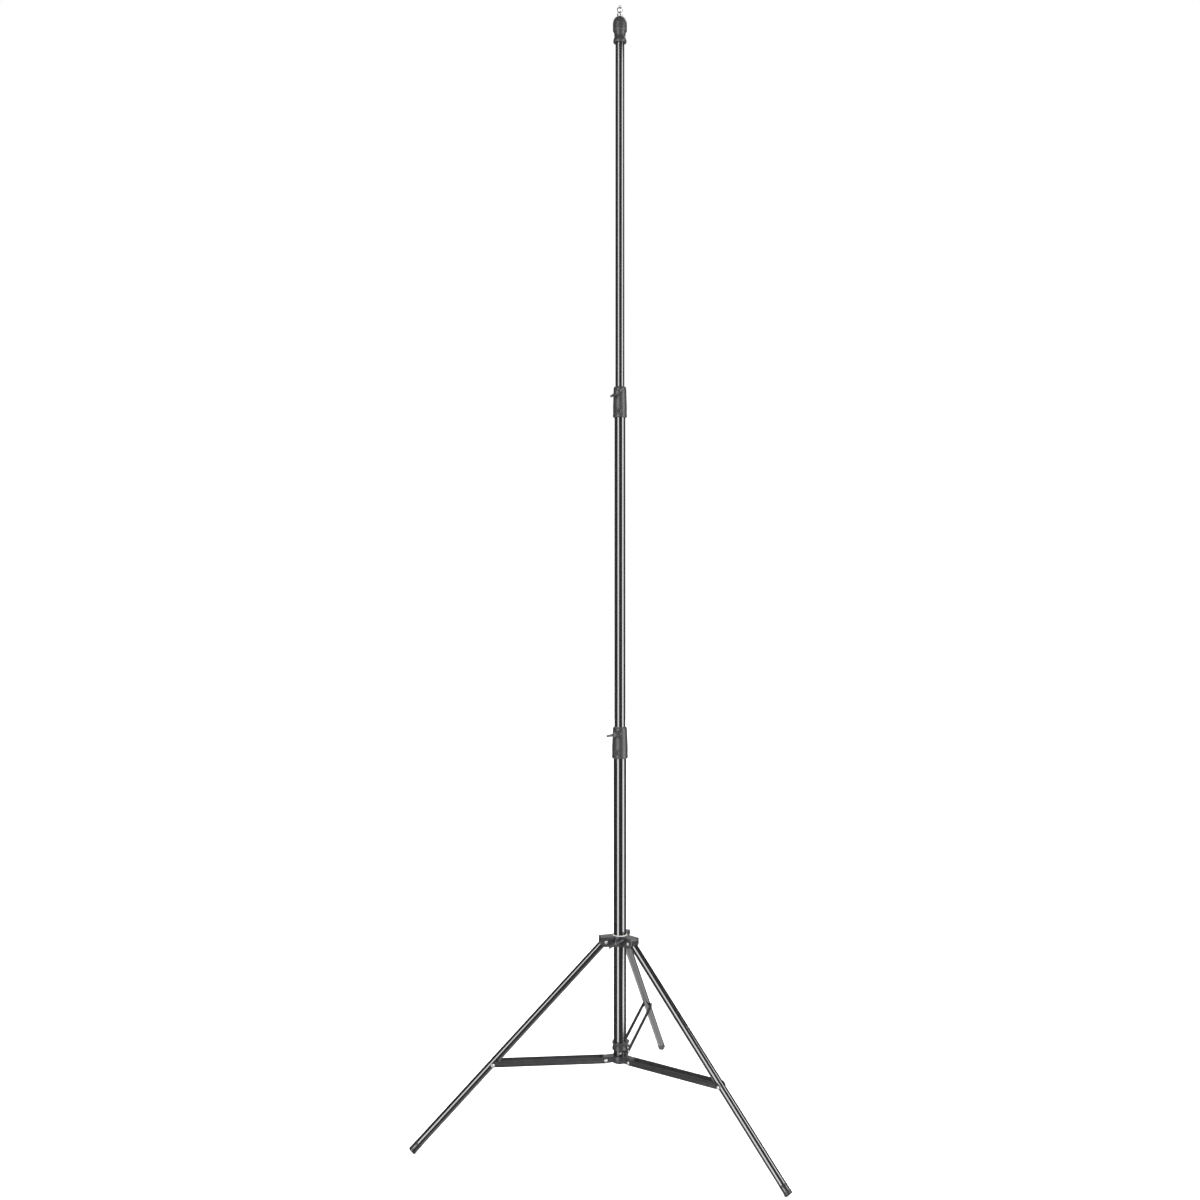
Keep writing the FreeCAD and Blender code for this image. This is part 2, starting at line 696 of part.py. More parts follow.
def top_cap():
    """Cast cap on the uppermost tube: a flared skirt, a neck, and a domed head that carries the spigot."""
    body = new_body("top_cap")
    tube_seat = "upper_r + seat_gap"
    revolve(body, [
        (tube_seat, "cap_bottom"),
        ("upper_r + 4.6", "cap_bottom"),
        ("upper_r + 5.9", "cap_bottom + 4"),
        ("upper_r + 5.6", "cap_bottom + 9"),
        ("upper_r + 2.9", "cap_bottom + 18"),
        ("upper_r + 3.4", "cap_bottom + 25"),
        ("upper_r + 4.4", "cap_bottom + 31"),
        ("upper_r + 7", "cap_bottom + 33"),
        ("upper_r + 7.1", "cap_bottom + 54"),
        ("upper_r + 5.2", "cap_bottom + 60"),
        ("upper_r + 0.5", "cap_bottom + 66"),
        ("stud_r + 1.2", "cap_top - 1.2"),
        ("stud_r", "cap_top - 1"),
        ("stud_r - 1 + seat_gap", "cap_top - 1"),
        ("stud_r - 1 + seat_gap", "upper_top + 4"),
        (0, "upper_top + 4"),
        (0, "upper_top + 0.2"),
        (tube_seat, "upper_top + 0.2"),
    ])
    pocket(body, circle(body, "XZ_Plane", 0, "cap_bottom + 18", 2.0))


def spigot():
    """5/8 inch stud with a waist for the clamp screw and a 1/4 inch thread on top."""
    body = new_body("spigot")
    revolve(body, [
        (0, "upper_top + 4"),
        ("stud_r - 1", "upper_top + 4"),
        ("stud_r - 1", "cap_top - 1"),
        ("stud_r", "cap_top - 1"),
        ("stud_r", "stud_top - 17"),
        ("stud_r - 1.4", "stud_top - 15"),
        ("stud_r - 1.4", "stud_top - 8"),
        ("stud_r", "stud_top - 6"),
        ("stud_r", "stud_top - 1"),
        ("stud_r - 1", "stud_top"),
        ("thread_r", "stud_top"),
        ("thread_r", "total_height - 0.6"),
        ("thread_r - 0.6", "total_height"),
        (0, "total_height"),
    ])


def cap_pin():
    """Roll pin across the cap's neck."""
    reach = size("upper_r") + 2.6
    height = size("cap_bottom") + 18
    pin = cylinder("cap_pin", 1.95, 2 * reach, Placement(Vector(0, reach, height), Rotation(Vector(1, 0, 0), 90)))
    pin.Label = "cap_pin"
    pieces.append(pin)


# ---------------------------------------------------------------- assembly


def build():
    column_tube()
    column_end_plug()
    lower_hub()
    foot_screw()
    stop_ring()
    stop_ring_screw()
    collar("lower_collar", COLLAR_HANDLE_AZIMUTH, (
        "collar_bottom", "collar_top", "collar_foot_r", "collar_mouth_r", "collar_screw_z", "collar_bolt_z",
        "outer_r + seat_gap", "outer_top + 0.3", "middle_r + slide_gap + bush_wall"))
    collar_bolt("lower_collar_bolt", COLLAR_HANDLE_AZIMUTH, size("outer_r") + 0.1, size("collar_foot_r"),
                size("collar_bolt_z"))
    bush("lower_collar_bush", COLLAR_HANDLE_AZIMUTH, "middle_r + slide_gap",
         "middle_r + slide_gap + bush_wall - seat_gap", "outer_top + 0.4", "collar_top", "collar_screw_z")
    shoe("lower_collar_shoe", COLLAR_HANDLE_AZIMUTH, size("middle_r") + 0.35, size("collar_screw_z"))
    rivet_ring("lower_hub_pins", size("pivot_r"), size("foot_hub_z"),
               size("brace_gap") / 2 + size("brace_thick") + 0.2, size("pin_head_height"))

    upper_hub()
    hub_bush()
    shoe("hub_shoe", HUB_HANDLE_AZIMUTH, size("outer_r") + 0.35, size("hub_z"))
    rivet_ring("hub_pins", size("pivot_r"), size("hub_z"), size("arm_half_width"), size("pin_head_height"))

    behind_shoe = size("shoe_thick") + 0.5
    handle("hub", HUB_HANDLE_AZIMUTH, size("hub_tee_base"), size("hub_z"), size("outer_r") + behind_shoe, 40.0)
    handle("lower", COLLAR_HANDLE_AZIMUTH, size("lower_tee_base"), size("collar_screw_z"),
           size("middle_r") + behind_shoe, 4.0)
    handle("upper", TOP_COLLAR_HANDLE_AZIMUTH, size("upper_tee_base"), size("top_collar_screw_z"),
           size("upper_r") + behind_shoe, 38.0)

    for name, azimuth in LEG_AZIMUTHS.items():
        leg(name, azimuth)
        brace(name, azimuth)

    tube("middle_tube", "middle_r", "middle_r - middle_wall", "middle_bottom", "middle_top")
    piston("middle_piston", "middle_r", "middle_wall", "middle_bottom", "outer_r - outer_wall", 23)
    seal("middle_seal", "middle_r", "middle_wall", "middle_bottom", "outer_r - outer_wall")
    collar("upper_collar", TOP_COLLAR_HANDLE_AZIMUTH, (
        "top_collar_bottom", "top_collar_top", "top_collar_foot_r", "top_collar_mouth_r", "top_collar_screw_z",
        "top_collar_bolt_z", "middle_r + seat_gap", "middle_top + 0.3", "upper_r + slide_gap + bush_wall"))
    collar_bolt("upper_collar_bolt", TOP_COLLAR_HANDLE_AZIMUTH, size("middle_r") + 0.1, size("top_collar_foot_r"),
                size("top_collar_bolt_z"))
    bush("upper_collar_bush", TOP_COLLAR_HANDLE_AZIMUTH, "upper_r + slide_gap",
         "upper_r + slide_gap + bush_wall - seat_gap", "middle_top + 0.4", "top_collar_top", "top_collar_screw_z")
    shoe("upper_collar_shoe", TOP_COLLAR_HANDLE_AZIMUTH, size("upper_r") + 0.35, size("top_collar_screw_z"))

    body = tube("upper_tube", "upper_r", "upper_r - upper_wall", "upper_bottom", "upper_top")
    pocket(body, circle(body, "XZ_Plane", 0, "cap_bottom + 18", 2.0))
    piston("upper_piston", "upper_r", "upper_wall", "upper_bottom", "middle_r - middle_wall", 23)
    seal("upper_seal", "upper_r", "upper_wall", "upper_bottom", "middle_r - middle_wall")
    top_cap()
    spigot()
    cap_pin()


def write():
    """Check every object and piece, then write one STEP file for each piece."""
    doc.recompute()
    for item in doc.Objects:
        if "Invalid" in item.State or "Error" in item.State:
            raise RuntimeError(f"{item.Label} failed to build: {item.State}")
    for piece in pieces:
        if piece.Shape.isNull() or not piece.Shape.isValid():
            raise RuntimeError(f"{piece.Label} has no valid shape")
    os.makedirs("parts", exist_ok=True)
    for piece in pieces:
        piece.Shape.exportStep(os.path.join("parts", piece.Label + ".step"))


build()
write()
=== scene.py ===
"""Looks for a three-section lighting stand: gloss tubes, moulded collars, cast hubs, braces and boots.

Laid out as a Blender add-on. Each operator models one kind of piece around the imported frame, in metres.
"""

import json
import math

import bmesh
import bpy
from bpy.props import FloatProperty, FloatVectorProperty, IntProperty, PointerProperty, StringProperty
from mathutils import Matrix, Vector


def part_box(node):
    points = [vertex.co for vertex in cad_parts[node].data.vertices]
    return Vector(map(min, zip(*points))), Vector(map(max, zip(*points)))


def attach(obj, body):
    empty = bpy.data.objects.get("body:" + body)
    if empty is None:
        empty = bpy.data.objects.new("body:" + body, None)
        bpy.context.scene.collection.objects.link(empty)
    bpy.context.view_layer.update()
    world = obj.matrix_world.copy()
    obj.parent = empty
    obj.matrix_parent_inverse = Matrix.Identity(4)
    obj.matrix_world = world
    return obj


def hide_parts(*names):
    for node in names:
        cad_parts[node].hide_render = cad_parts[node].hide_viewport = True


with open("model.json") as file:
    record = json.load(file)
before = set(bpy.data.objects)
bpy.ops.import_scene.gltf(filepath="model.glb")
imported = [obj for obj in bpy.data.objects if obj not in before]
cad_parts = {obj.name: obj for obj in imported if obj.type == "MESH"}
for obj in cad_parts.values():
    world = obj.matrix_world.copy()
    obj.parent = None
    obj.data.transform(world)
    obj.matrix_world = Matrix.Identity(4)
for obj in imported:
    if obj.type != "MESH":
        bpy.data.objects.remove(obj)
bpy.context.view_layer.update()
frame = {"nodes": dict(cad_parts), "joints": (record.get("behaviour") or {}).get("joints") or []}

bl_info = {
    "name": "Lighting Stand Pieces",
    "version": (1, 0, 0),
    "blender": (4, 5, 0),
    "location": "3D View > Sidebar > Stand",
    "description": "Models and finishes the pieces of a telescopic lighting stand",
    "category": "Object",
}

MM = 0.001
LEGS = ("a", "b", "c")
JOINTS = {joint["name"]: joint for joint in frame["joints"]}
UP = Vector((0, 0, 1))
# Turns a piece modelled along Z so that it lies along Y.
ACROSS = Matrix.Rotation(math.radians(-90), 4, "X")


# ---------------------------------------------------------------- places read from the frame


def low(node):
    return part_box(node)[0]


def high(node):
    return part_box(node)[1]


def middle(node):
    return (low(node) + high(node)) / 2


def radius(node):
    """Half the width of a node that is round about the column's axis."""
    return (high(node).y - low(node).y) / 2


def pivot(joint):
    return Vector(JOINTS[joint]["pos_m"])


def axis(joint):
    return Vector(JOINTS[joint]["axis"]).normalized()


def outward(point):
    """Horizontal direction from the column's axis to a point."""
    return Vector((point.x, point.y, 0)).normalized()


def seat(origin, x_dir, z_dir):
    """Matrix that puts a piece's own X and Z along two directions."""
    z_axis = z_dir.normalized()
    y_axis = z_axis.cross(x_dir).normalized()
    x_axis = y_axis.cross(z_axis)
    turn = Matrix((x_axis, y_axis, z_axis)).transposed().to_4x4()
    return Matrix.Translation(origin) @ turn


def screw_seat(height, facing):
    """Frame of a screw that stands out of the column: origin on the column's axis, Z along the screw."""
    return seat(Vector((0, 0, height)), UP.cross(facing), facing)


def leg_seat(leg):
    """A leg's frame: origin at its pivot, Z up along the tube, Y across it."""
    hub = pivot(f"leg_{leg}_fold")
    knee = middle(f"brace_{leg}_rivets")
    return seat(hub, outward(hub), hub - knee)


def arm_seat(leg, joint):
    """A hub arm's frame: origin on the column's axis at the pivot's height, X outwards, Z up."""
    place = pivot(joint)
    return seat(Vector((0, 0, place.z)), outward(place), UP)


def brace_seat(leg):
    """A brace's frame: origin at its hub pivot, X towards the knee, Y across the bars."""
    foot = pivot(f"brace_{leg}_fold")
    knee = middle(f"brace_{leg}_rivets")
    along = knee - foot
    up = along.cross(axis(f"brace_{leg}_fold"))
    return seat(foot, along, up if up.z > 0 else -up)


# ---------------------------------------------------------------- modelling


def clear_selection():
    if bpy.context.mode != "OBJECT":
        bpy.ops.object.mode_set(mode="OBJECT")
    bpy.ops.object.select_all(action="DESELECT")


def only(obj):
    """Make an object the only selected one, and the active one."""
    clear_selection()
    obj.select_set(True)
    bpy.context.view_layer.objects.active = obj
    return obj


def edit(obj, select_mode="VERT"):
    only(obj)
    bpy.ops.object.mode_set(mode="EDIT")
    bpy.ops.mesh.select_mode(type=select_mode)


def leave_edit():
    bpy.ops.object.mode_set(mode="OBJECT")


def steps(radius_at, height_at, *offsets):
    """Outline points, each given in millimetres from a radius and a height."""
    return [(radius_at + r * MM, height_at + z * MM) for r, z in offsets]


def turned(outline, sides=64, bore=False):
    """Turn an outline of (radius, height) points as on a lathe, by extruding and resizing one ring.

    With a bore the last ring is bridged back to the first, otherwise both ends are filled.
    """
    clear_selection()
    start_radius, start_height = outline[0]
    bpy.ops.mesh.primitive_circle_add(vertices=sides, radius=start_radius, location=(0, 0, start_height))
    obj = bpy.context.object
    edit(obj)
    bpy.ops.mesh.select_all(action="SELECT")
    for (r0, z0), (r1, z1) in zip(outline, outline[1:]):
        bpy.ops.mesh.extrude_region_move(TRANSFORM_OT_translate={"value": (0, 0, z1 - z0)})
        bpy.ops.transform.resize(value=(r1 / r0, r1 / r0, 1), center_override=(0, 0, z1))
    bpy.ops.mesh.select_all(action="DESELECT")
    bpy.ops.mesh.select_mode(type="EDGE")
    bpy.ops.mesh.select_non_manifold()
    if bore:
        bpy.ops.mesh.bridge_edge_loops()
    else:
        bpy.ops.mesh.fill_holes(sides=0)
    bpy.ops.mesh.select_all(action="SELECT")
    bpy.ops.mesh.normals_make_consistent(inside=False)
    leave_edit()
    bpy.ops.object.transform_apply(location=True, rotation=True, scale=True)
    return obj


def drill(hole_radius, start, end, sides=24):
    """A round tool along Z for cutting a hole."""
    return turned([(hole_radius, start), (hole_radius, end)], sides)


def block(x_range, y_range, z_range):
    """A box between three pairs of limits."""
    clear_selection()
    centre = [(a + b) / 2 for a, b in (x_range, y_range, z_range)]
    span = [b - a for a, b in (x_range, y_range, z_range)]
    bpy.ops.mesh.primitive_cube_add(size=1, location=centre, scale=span)
    obj = bpy.context.object
    bpy.ops.object.transform_apply(location=True, rotation=True, scale=True)
    return obj


def placed(obj, matrix):
    """Move a piece to its place and leave the place in its mesh."""
    only(obj)
    obj.matrix_world = matrix @ obj.matrix_world
    bpy.ops.object.transform_apply(location=True, rotation=True, scale=True)
    return obj


def joined(parts):
    only(parts[0])
    for part in parts:
        part.select_set(True)
    bpy.ops.object.join()
    return bpy.context.object


def apply_modifier(obj, kind, **settings):
    only(obj)
    bpy.ops.object.modifier_add(type=kind)
    modifier = obj.modifiers[-1]
    for name, value in settings.items():
        setattr(modifier, name, value)
    bpy.ops.object.modifier_apply(modifier=modifier.name)


def combine(obj, other, operation):
    """Union or difference with another solid, which is used up."""
    apply_modifier(obj, "BOOLEAN", operation=operation, object=other, solver="EXACT")
    bpy.data.objects.remove(other)
    return obj


def cut(obj, *tools):
    for tool in tools:
        combine(obj, tool, "DIFFERENCE")
    return obj


def weld(obj, *others):
    for other in others:
        combine(obj, other, "UNION")
    return obj


def tidy_mesh(obj):
    """Merge doubles and point every face outwards."""
    edit(obj)
    bpy.ops.mesh.select_all(action="SELECT")
    bpy.ops.mesh.remove_doubles(threshold=0.00001)
    bpy.ops.mesh.dissolve_degenerate(threshold=0.000005)
    bpy.ops.mesh.normals_make_consistent(inside=False)
    leave_edit()


def round_edges(obj, width, segments=2, angle=32.0):
    apply_modifier(obj, "BEVEL", width=width, segments=segments, limit_method="ANGLE",
                   angle_limit=math.radians(angle), use_clamp_overlap=True)


def smooth(obj, angle=38.0):
    only(obj)
    bpy.ops.object.shade_smooth_by_angle(angle=math.radians(angle))


def round_corners(obj, chosen, width, segments):
    """Bevel the edges whose midpoint passes a test."""
    edit(obj, "EDGE")
    bpy.ops.mesh.select_all(action="DESELECT")
    mesh = bmesh.from_edit_mesh(obj.data)
    for edge in mesh.edges:
        ends = [vertex.co for vertex in edge.verts]
        edge.select = chosen((ends[0] + ends[1]) / 2, ends[1] - ends[0])
    bmesh.update_edit_mesh(obj.data)
    bpy.ops.mesh.bevel(offset=width, segments=segments, affect="EDGES", clamp_overlap=False)
    leave_edit()


def slice_off(obj, point, normal):
    """Cut away what lies on the normal's side of a plane and close the cut."""
    edit(obj)
    bpy.ops.mesh.select_all(action="SELECT")
    bpy.ops.mesh.bisect(plane_co=point, plane_no=normal, use_fill=True, clear_outer=True)
    leave_edit()


def finish(obj, name, body, material, nodes=()):
    """Name a finished piece, give it its material and body, and hide the nodes it stands for."""
    obj.name = name
    obj.data.name = name
    obj.data.materials.clear()
    obj.data.materials.append(material)
    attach(obj, body)
    if nodes:
        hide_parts(*nodes)
    return obj


# ---------------------------------------------------------------- materials


def linear(hex_colour):
    """Linear RGBA from an sRGB hex colour."""
    channels = [int(hex_colour.lstrip("#")[i:i + 2], 16) / 255 for i in (0, 2, 4)]
    return [c / 12.92 if c <= 0.04045 else ((c + 0.055) / 1.055) ** 2.4 for c in channels] + [1.0]


def new_material(name):
    """A material with an empty node tree, and that tree."""
    material = bpy.data.materials.get(name) or bpy.data.materials.new(name)
    material.use_nodes = True
    material.node_tree.nodes.clear()
    return material, material.node_tree


def add_node(tree, kind, settings=None, inputs=None, links=None):
    """Add a node, set its properties and input values, and link inputs from (node, output) pairs."""
    node = tree.nodes.new(kind)
    for name, value in (settings or {}).items():
        setattr(node, name, value)
    for name, value in (inputs or {}).items():
        node.inputs[name].default_value = value
    for name, (source, output) in (links or {}).items():
        tree.links.new(source.outputs[output], node.inputs[name])
    return node


def finish_material(tree, values, tones, shine, dents):
    """Make the end that every material shares, from the shader's plain values and three patterns.

    Tones are (node, output, from, to, dark, light), shine is (node, output, from, to, smooth, dull) and
    dents are (node, output, depth). A pattern's values from its first limit to its second give the range between
    its last two entries.
    """
    pattern, output, start, end, dark, light = tones
    factor = add_node(tree, "ShaderNodeMapRange", None, {"From Min": start, "From Max": end},
                      {"Value": (pattern, output)})
    colour = add_node(tree, "ShaderNodeMix", {"data_type": "RGBA"}, {"A": linear(dark), "B": linear(light)},
                      {"Factor": (factor, "Result")})
    pattern, output, start, end, smoothest, dullest = shine
    rough = add_node(tree, "ShaderNodeMapRange", None,
                     {"From Min": start, "From Max": end, "To Min": smoothest, "To Max": dullest},
                     {"Value": (pattern, output)})
    pattern, output, depth = dents
    bumps = add_node(tree, "ShaderNodeBump", None, {"Distance": depth, "Strength": 1.0},
                     {"Height": (pattern, output)})
    shader = add_node(tree, "ShaderNodeBsdfPrincipled", None, values, {
        "Base Color": (colour, "Result"),
        "Roughness": (rough, "Result"),
        "Normal": (bumps, "Normal"),
    })
    add_node(tree, "ShaderNodeOutputMaterial", None, None, {"Surface": (shader, "BSDF")})


def gloss_enamel():
    """Gloss black enamel on drawn aluminium tube: a deep black under a clear skin with faint orange peel."""
    material, tree = new_material("gloss black enamel")
    look = bpy.context.scene.stand_finishes
    place = add_node(tree, "ShaderNodeTexCoord")
    # Orange peel has lumps about 2 mm across.
    peel = add_node(tree, "ShaderNodeTexNoise", None,
                    {"Scale": 500.0, "Detail": 1.0, "Roughness": 0.4},
                    {"Vector": (place, "Object")})
    # Handling leaves long, faint dull patches about 60 mm long.
    stretch = add_node(tree, "ShaderNodeMapping", None, {"Scale": (1.0, 1.0, 0.3)},
                       {"Vector": (place, "Object")})
    wear = add_node(tree, "ShaderNodeTexNoise", None,
                    {"Scale": 45.0, "Detail": 4.0, "Roughness": 0.6},
                    {"Vector": (stretch, "Vector")})
    finish_material(tree, {"IOR": 1.65, "Coat Weight": 1.0, "Coat Roughness": 0.05, "Coat IOR": 1.6},
                    (wear, "Fac", 0.0, 1.0, look.enamel_colour, "#1a1a1c"),
                    (wear, "Fac", 0.3, 0.7, look.enamel_roughness, look.enamel_roughness + 0.05),
                    (peel, "Fac", 0.000004))
    return material


def moulded_nylon():
    """Glass-filled nylon from a spark-eroded mould: dark grey, with a pebbled skin that catches specks."""
    material, tree = new_material("black moulded nylon")
    look = bpy.context.scene.stand_finishes
    place = add_node(tree, "ShaderNodeTexCoord")
    # The mould's pebbles are about 0.8 mm across, drawn as 1.3 mm so that they show.
    pebble = add_node(tree, "ShaderNodeTexVoronoi", {"feature": "SMOOTH_F1"},
                      {"Scale": 760.0, "Smoothness": 0.6}, {"Vector": (place, "Object")})
    flow = add_node(tree, "ShaderNodeTexNoise", None,
                    {"Scale": 260.0, "Detail": 4.0, "Roughness": 0.7},
                    {"Vector": (place, "Object")})
    finish_material(tree, {"IOR": 1.53},
                    (flow, "Fac", 0.3, 0.7, look.nylon_colour, "#303032"),
                    (pebble, "Distance", 0.1, 0.6, 0.3, 0.44),
                    (pebble, "Distance", 0.00016))
    return material


def painted_casting():
    """Satin black paint baked on die-cast alloy: softly lumpy, with worn paler paint in broad patches."""
    material, tree = new_material("satin black casting paint")
    look = bpy.context.scene.stand_finishes
    place = add_node(tree, "ShaderNodeTexCoord")
    # Sand and paint lumps are about 1.5 mm across.
    lumps = add_node(tree, "ShaderNodeTexNoise", None,
                     {"Scale": 650.0, "Detail": 3.0, "Roughness": 0.5},
                     {"Vector": (place, "Object")})
    patches = add_node(tree, "ShaderNodeTexNoise", None,
                       {"Scale": 120.0, "Detail": 5.0, "Roughness": 0.65},
                       {"Vector": (place, "Object")})
    finish_material(tree, {"IOR": 1.5, "Coat Weight": 0.15, "Coat Roughness": 0.2},
                    (patches, "Fac", 0.3, 0.7, look.casting_colour, "#2f2f32"),
                    (lumps, "Fac", 0.3, 0.7, 0.3, 0.46),
                    (lumps, "Fac", 0.00012))
    return material


def painted_strip():
    """Satin black paint on rolled steel strip: flatter than the castings, with faint marks."""
    material, tree = new_material("satin black strip paint")
    look = bpy.context.scene.stand_finishes
    place = add_node(tree, "ShaderNodeTexCoord")
    # The paint's grain is about 1 mm across, and the marks left by handling about 15 mm.
    grain = add_node(tree, "ShaderNodeTexNoise", None,
                     {"Scale": 900.0, "Detail": 2.0, "Roughness": 0.5},
                     {"Vector": (place, "Object")})
    marks = add_node(tree, "ShaderNodeTexNoise", None,
                     {"Scale": 65.0, "Detail": 5.0, "Roughness": 0.7},
                     {"Vector": (place, "Object")})
    finish_material(tree, {"IOR": 1.5},
                    (marks, "Fac", 0.3, 0.7, look.strip_colour, "#2a282a"),
                    (marks, "Fac", 0.3, 0.7, 0.34, 0.48),
                    (grain, "Fac", 0.00005))
    return material


def metal(name, pale, dark, roughness, grain_scale, dent):
    """A bare or plated metal with smudges and a fine grain."""
    material, tree = new_material(name)
    place = add_node(tree, "ShaderNodeTexCoord")
    smudge = add_node(tree, "ShaderNodeTexNoise", None,
                      {"Scale": 300.0, "Detail": 4.0, "Roughness": 0.6},
                      {"Vector": (place, "Object")})
    grain = add_node(tree, "ShaderNodeTexNoise", None,
                     {"Scale": grain_scale, "Detail": 2.0, "Roughness": 0.5},
                     {"Vector": (place, "Object")})
    finish_material(tree, {"Metallic": 1.0},
                    (smudge, "Fac", 0.3, 0.7, dark, pale),
                    (smudge, "Fac", 0.3, 0.7, roughness, roughness + 0.12),
                    (grain, "Fac", dent))
    return material


def nickel_plate():
    """Bright nickel plate on the rivets: the palest spots on the stand. Its grain is about 0.7 mm."""
    return metal("bright nickel plate", "#f7f6f3", "#dedcd7", 0.34, 1400.0, 0.00002)


def zinc_plate():
    """Zinc plate on the screws and washers: a soft grey shine. Its crystals are about 1 mm."""
    return metal("zinc plate", "#b4b6ba", "#8b8d92", 0.28, 1000.0, 0.00003)


def black_oxide():
    """Black oxide on the small socket bolts: a dark, oily metal. Its grain is about 1 mm."""
    return metal("black oxide", "#4e4e52", "#2b2b2e", 0.32, 1000.0, 0.00003)


def turned_chrome():
    """Satin chrome over a turned steel stud: pale, with the lathe's rings, drawn 0.5 mm apart."""
    material, tree = new_material("satin chrome")
    place = add_node(tree, "ShaderNodeTexCoord")
    rings = add_node(tree, "ShaderNodeTexWave", {"wave_type": "BANDS", "bands_direction": "Z"},
                     {"Scale": 630.0, "Distortion": 0.6, "Detail": 1.0}, {"Vector": (place, "Object")})
    smudge = add_node(tree, "ShaderNodeTexNoise", None,
                      {"Scale": 240.0, "Detail": 4.0, "Roughness": 0.5},
                      {"Vector": (place, "Object")})
    finish_material(tree, {"Metallic": 1.0},
                    (smudge, "Fac", 0.0, 1.0, "#c2c3c6", "#ebebec"),
                    (smudge, "Fac", 0.3, 0.7, 0.36, 0.46),
                    (rings, "Fac", 0.00001))
    return material


def natural_nylon():
    """Unpainted moulded nylon: milky white, a little light shows through its edges."""
    material, tree = new_material("natural nylon")
    place = add_node(tree, "ShaderNodeTexCoord")
    # Scuffs from sliding are about 3 mm across.
    scuff = add_node(tree, "ShaderNodeTexNoise", None,
                     {"Scale": 330.0, "Detail": 4.0, "Roughness": 0.6},
                     {"Vector": (place, "Object")})
    finish_material(tree, {"IOR": 1.53, "Subsurface Weight": 0.2, "Subsurface Scale": 0.002},
                    (scuff, "Fac", 0.0, 1.0, "#a9a79f", "#c6c4bc"),
                    (scuff, "Fac", 0.3, 0.7, 0.36, 0.5),
                    (scuff, "Fac", 0.00003))
    return material


def turned_brass():
    """Plain turned brass on the clamp shoes."""
    return metal("turned brass", "#d9b45c", "#a8843c", 0.25, 900.0, 0.00003)


def boot_rubber():
    """Moulded black rubber: a low shine, with a little dust caught in a fine grain."""
    material, tree = new_material("moulded black rubber")
    look = bpy.context.scene.stand_finishes
    place = add_node(tree, "ShaderNodeTexCoord")
    # The mould's grain is about 0.6 mm across, drawn as 1 mm so that it shows.
    grain = add_node(tree, "ShaderNodeTexNoise", None,
                     {"Scale": 1000.0, "Detail": 3.0, "Roughness": 0.6},
                     {"Vector": (place, "Object")})
    dust = add_node(tree, "ShaderNodeTexNoise", None,
                    {"Scale": 120.0, "Detail": 5.0, "Roughness": 0.65},
                    {"Vector": (place, "Object")})
    finish_material(tree, {"IOR": 1.52},
                    (dust, "Fac", 0.3, 0.7, look.rubber_colour, "#1f1f20"),
                    (dust, "Fac", 0.3, 0.7, 0.3, 0.42),
                    (grain, "Fac", 0.00008))
    return material


# ---------------------------------------------------------------- settings


class StandFinishes(bpy.types.PropertyGroup):
    enamel_colour: StringProperty(name="Enamel", description="Tube enamel, sRGB hex", default="#0b0b0c")
    enamel_roughness: FloatProperty(name="Enamel Roughness", description="Roughness of the tube enamel",
                                    default=0.1, min=0.0, max=1.0, subtype="FACTOR")
    nylon_colour: StringProperty(name="Nylon", description="Collars and cap, sRGB hex", default="#1b1b1c")
    casting_colour: StringProperty(name="Casting Paint", description="Hubs and handles, sRGB hex",
                                   default="#1b1b1d")
    strip_colour: StringProperty(name="Strip Paint", description="Brace bars, sRGB hex", default="#1a191b")
    rubber_colour: StringProperty(name="Rubber", description="Boots and seals, sRGB hex", default="#0e0e0f")


class StandShapes(bpy.types.PropertyGroup):
    tube_sides: IntProperty(name="Tube Sides", description="Sides round a tube", default=96, min=24, max=256)
    edge: FloatProperty(name="Cast Edge", description="Rounding of the cast and moulded edges",
                        default=0.9 * MM, min=0.0, unit="LENGTH")
    strip_edge: FloatProperty(name="Strip Edge", description="Rounding of the brace bars' edges",
                              default=0.35 * MM, min=0.0, unit="LENGTH")
    wing_thickness: FloatProperty(name="Wing Thickness", description="Thickness of a clamp handle's wings",
                                  default=7.0 * MM, min=0.0, unit="LENGTH")
    thread_pitch: FloatProperty(name="Thread Pitch", description="Pitch of the spigot's thread",
                                default=1.27 * MM, min=0.0, unit="LENGTH")


class StandStage(bpy.types.PropertyGroup):
    camera_place: FloatVectorProperty(name="Camera Place", description="Where the camera stands", size=3,
                                      default=(0.8206, -3.418, 1.565), subtype="TRANSLATION", unit="LENGTH")
    camera_azimuth: FloatProperty(name="Camera Azimuth", description="Direction the camera looks, from +Y",
                                  default=math.radians(13.5), subtype="ANGLE", unit="ROTATION")
    lens: FloatProperty(name="Lens", description="Focal length on a 36 mm sensor, in mm", default=38.14)
    shift_x: FloatProperty(name="Shift X", description="Sideways lens shift", default=-0.0166)
    shift_y: FloatProperty(name="Shift Y", description="Vertical lens shift", default=-0.0333)
    key_power: FloatProperty(name="Key Power", description="Left strip light", default=150.0, unit="POWER")
    rim_power: FloatProperty(name="Rim Power", description="Right strip light", default=170.0, unit="POWER")
    surround: FloatProperty(name="Surround", description="Brightness of the walls in reflections",
                            default=0.085)
    floor_glow: FloatProperty(name="Floor Glow", description="Brightness of the floor in reflections",
                              default=0.8)
    back_glow: FloatProperty(name="Back Glow", description="Brightness of the far wall's top in reflections",
                             default=0.8)


# ---------------------------------------------------------------- tubes


def open_tube(inner, outer, bottom, top, roll, sides):
    """A tube or plain ring with rolled outer edges."""
    return turned([
        (inner, bottom),
        (outer - roll, bottom),
        (outer, bottom + roll),
        (outer, top - roll),
        (outer - roll, top),
        (inner, top),
    ], sides, bore=True)


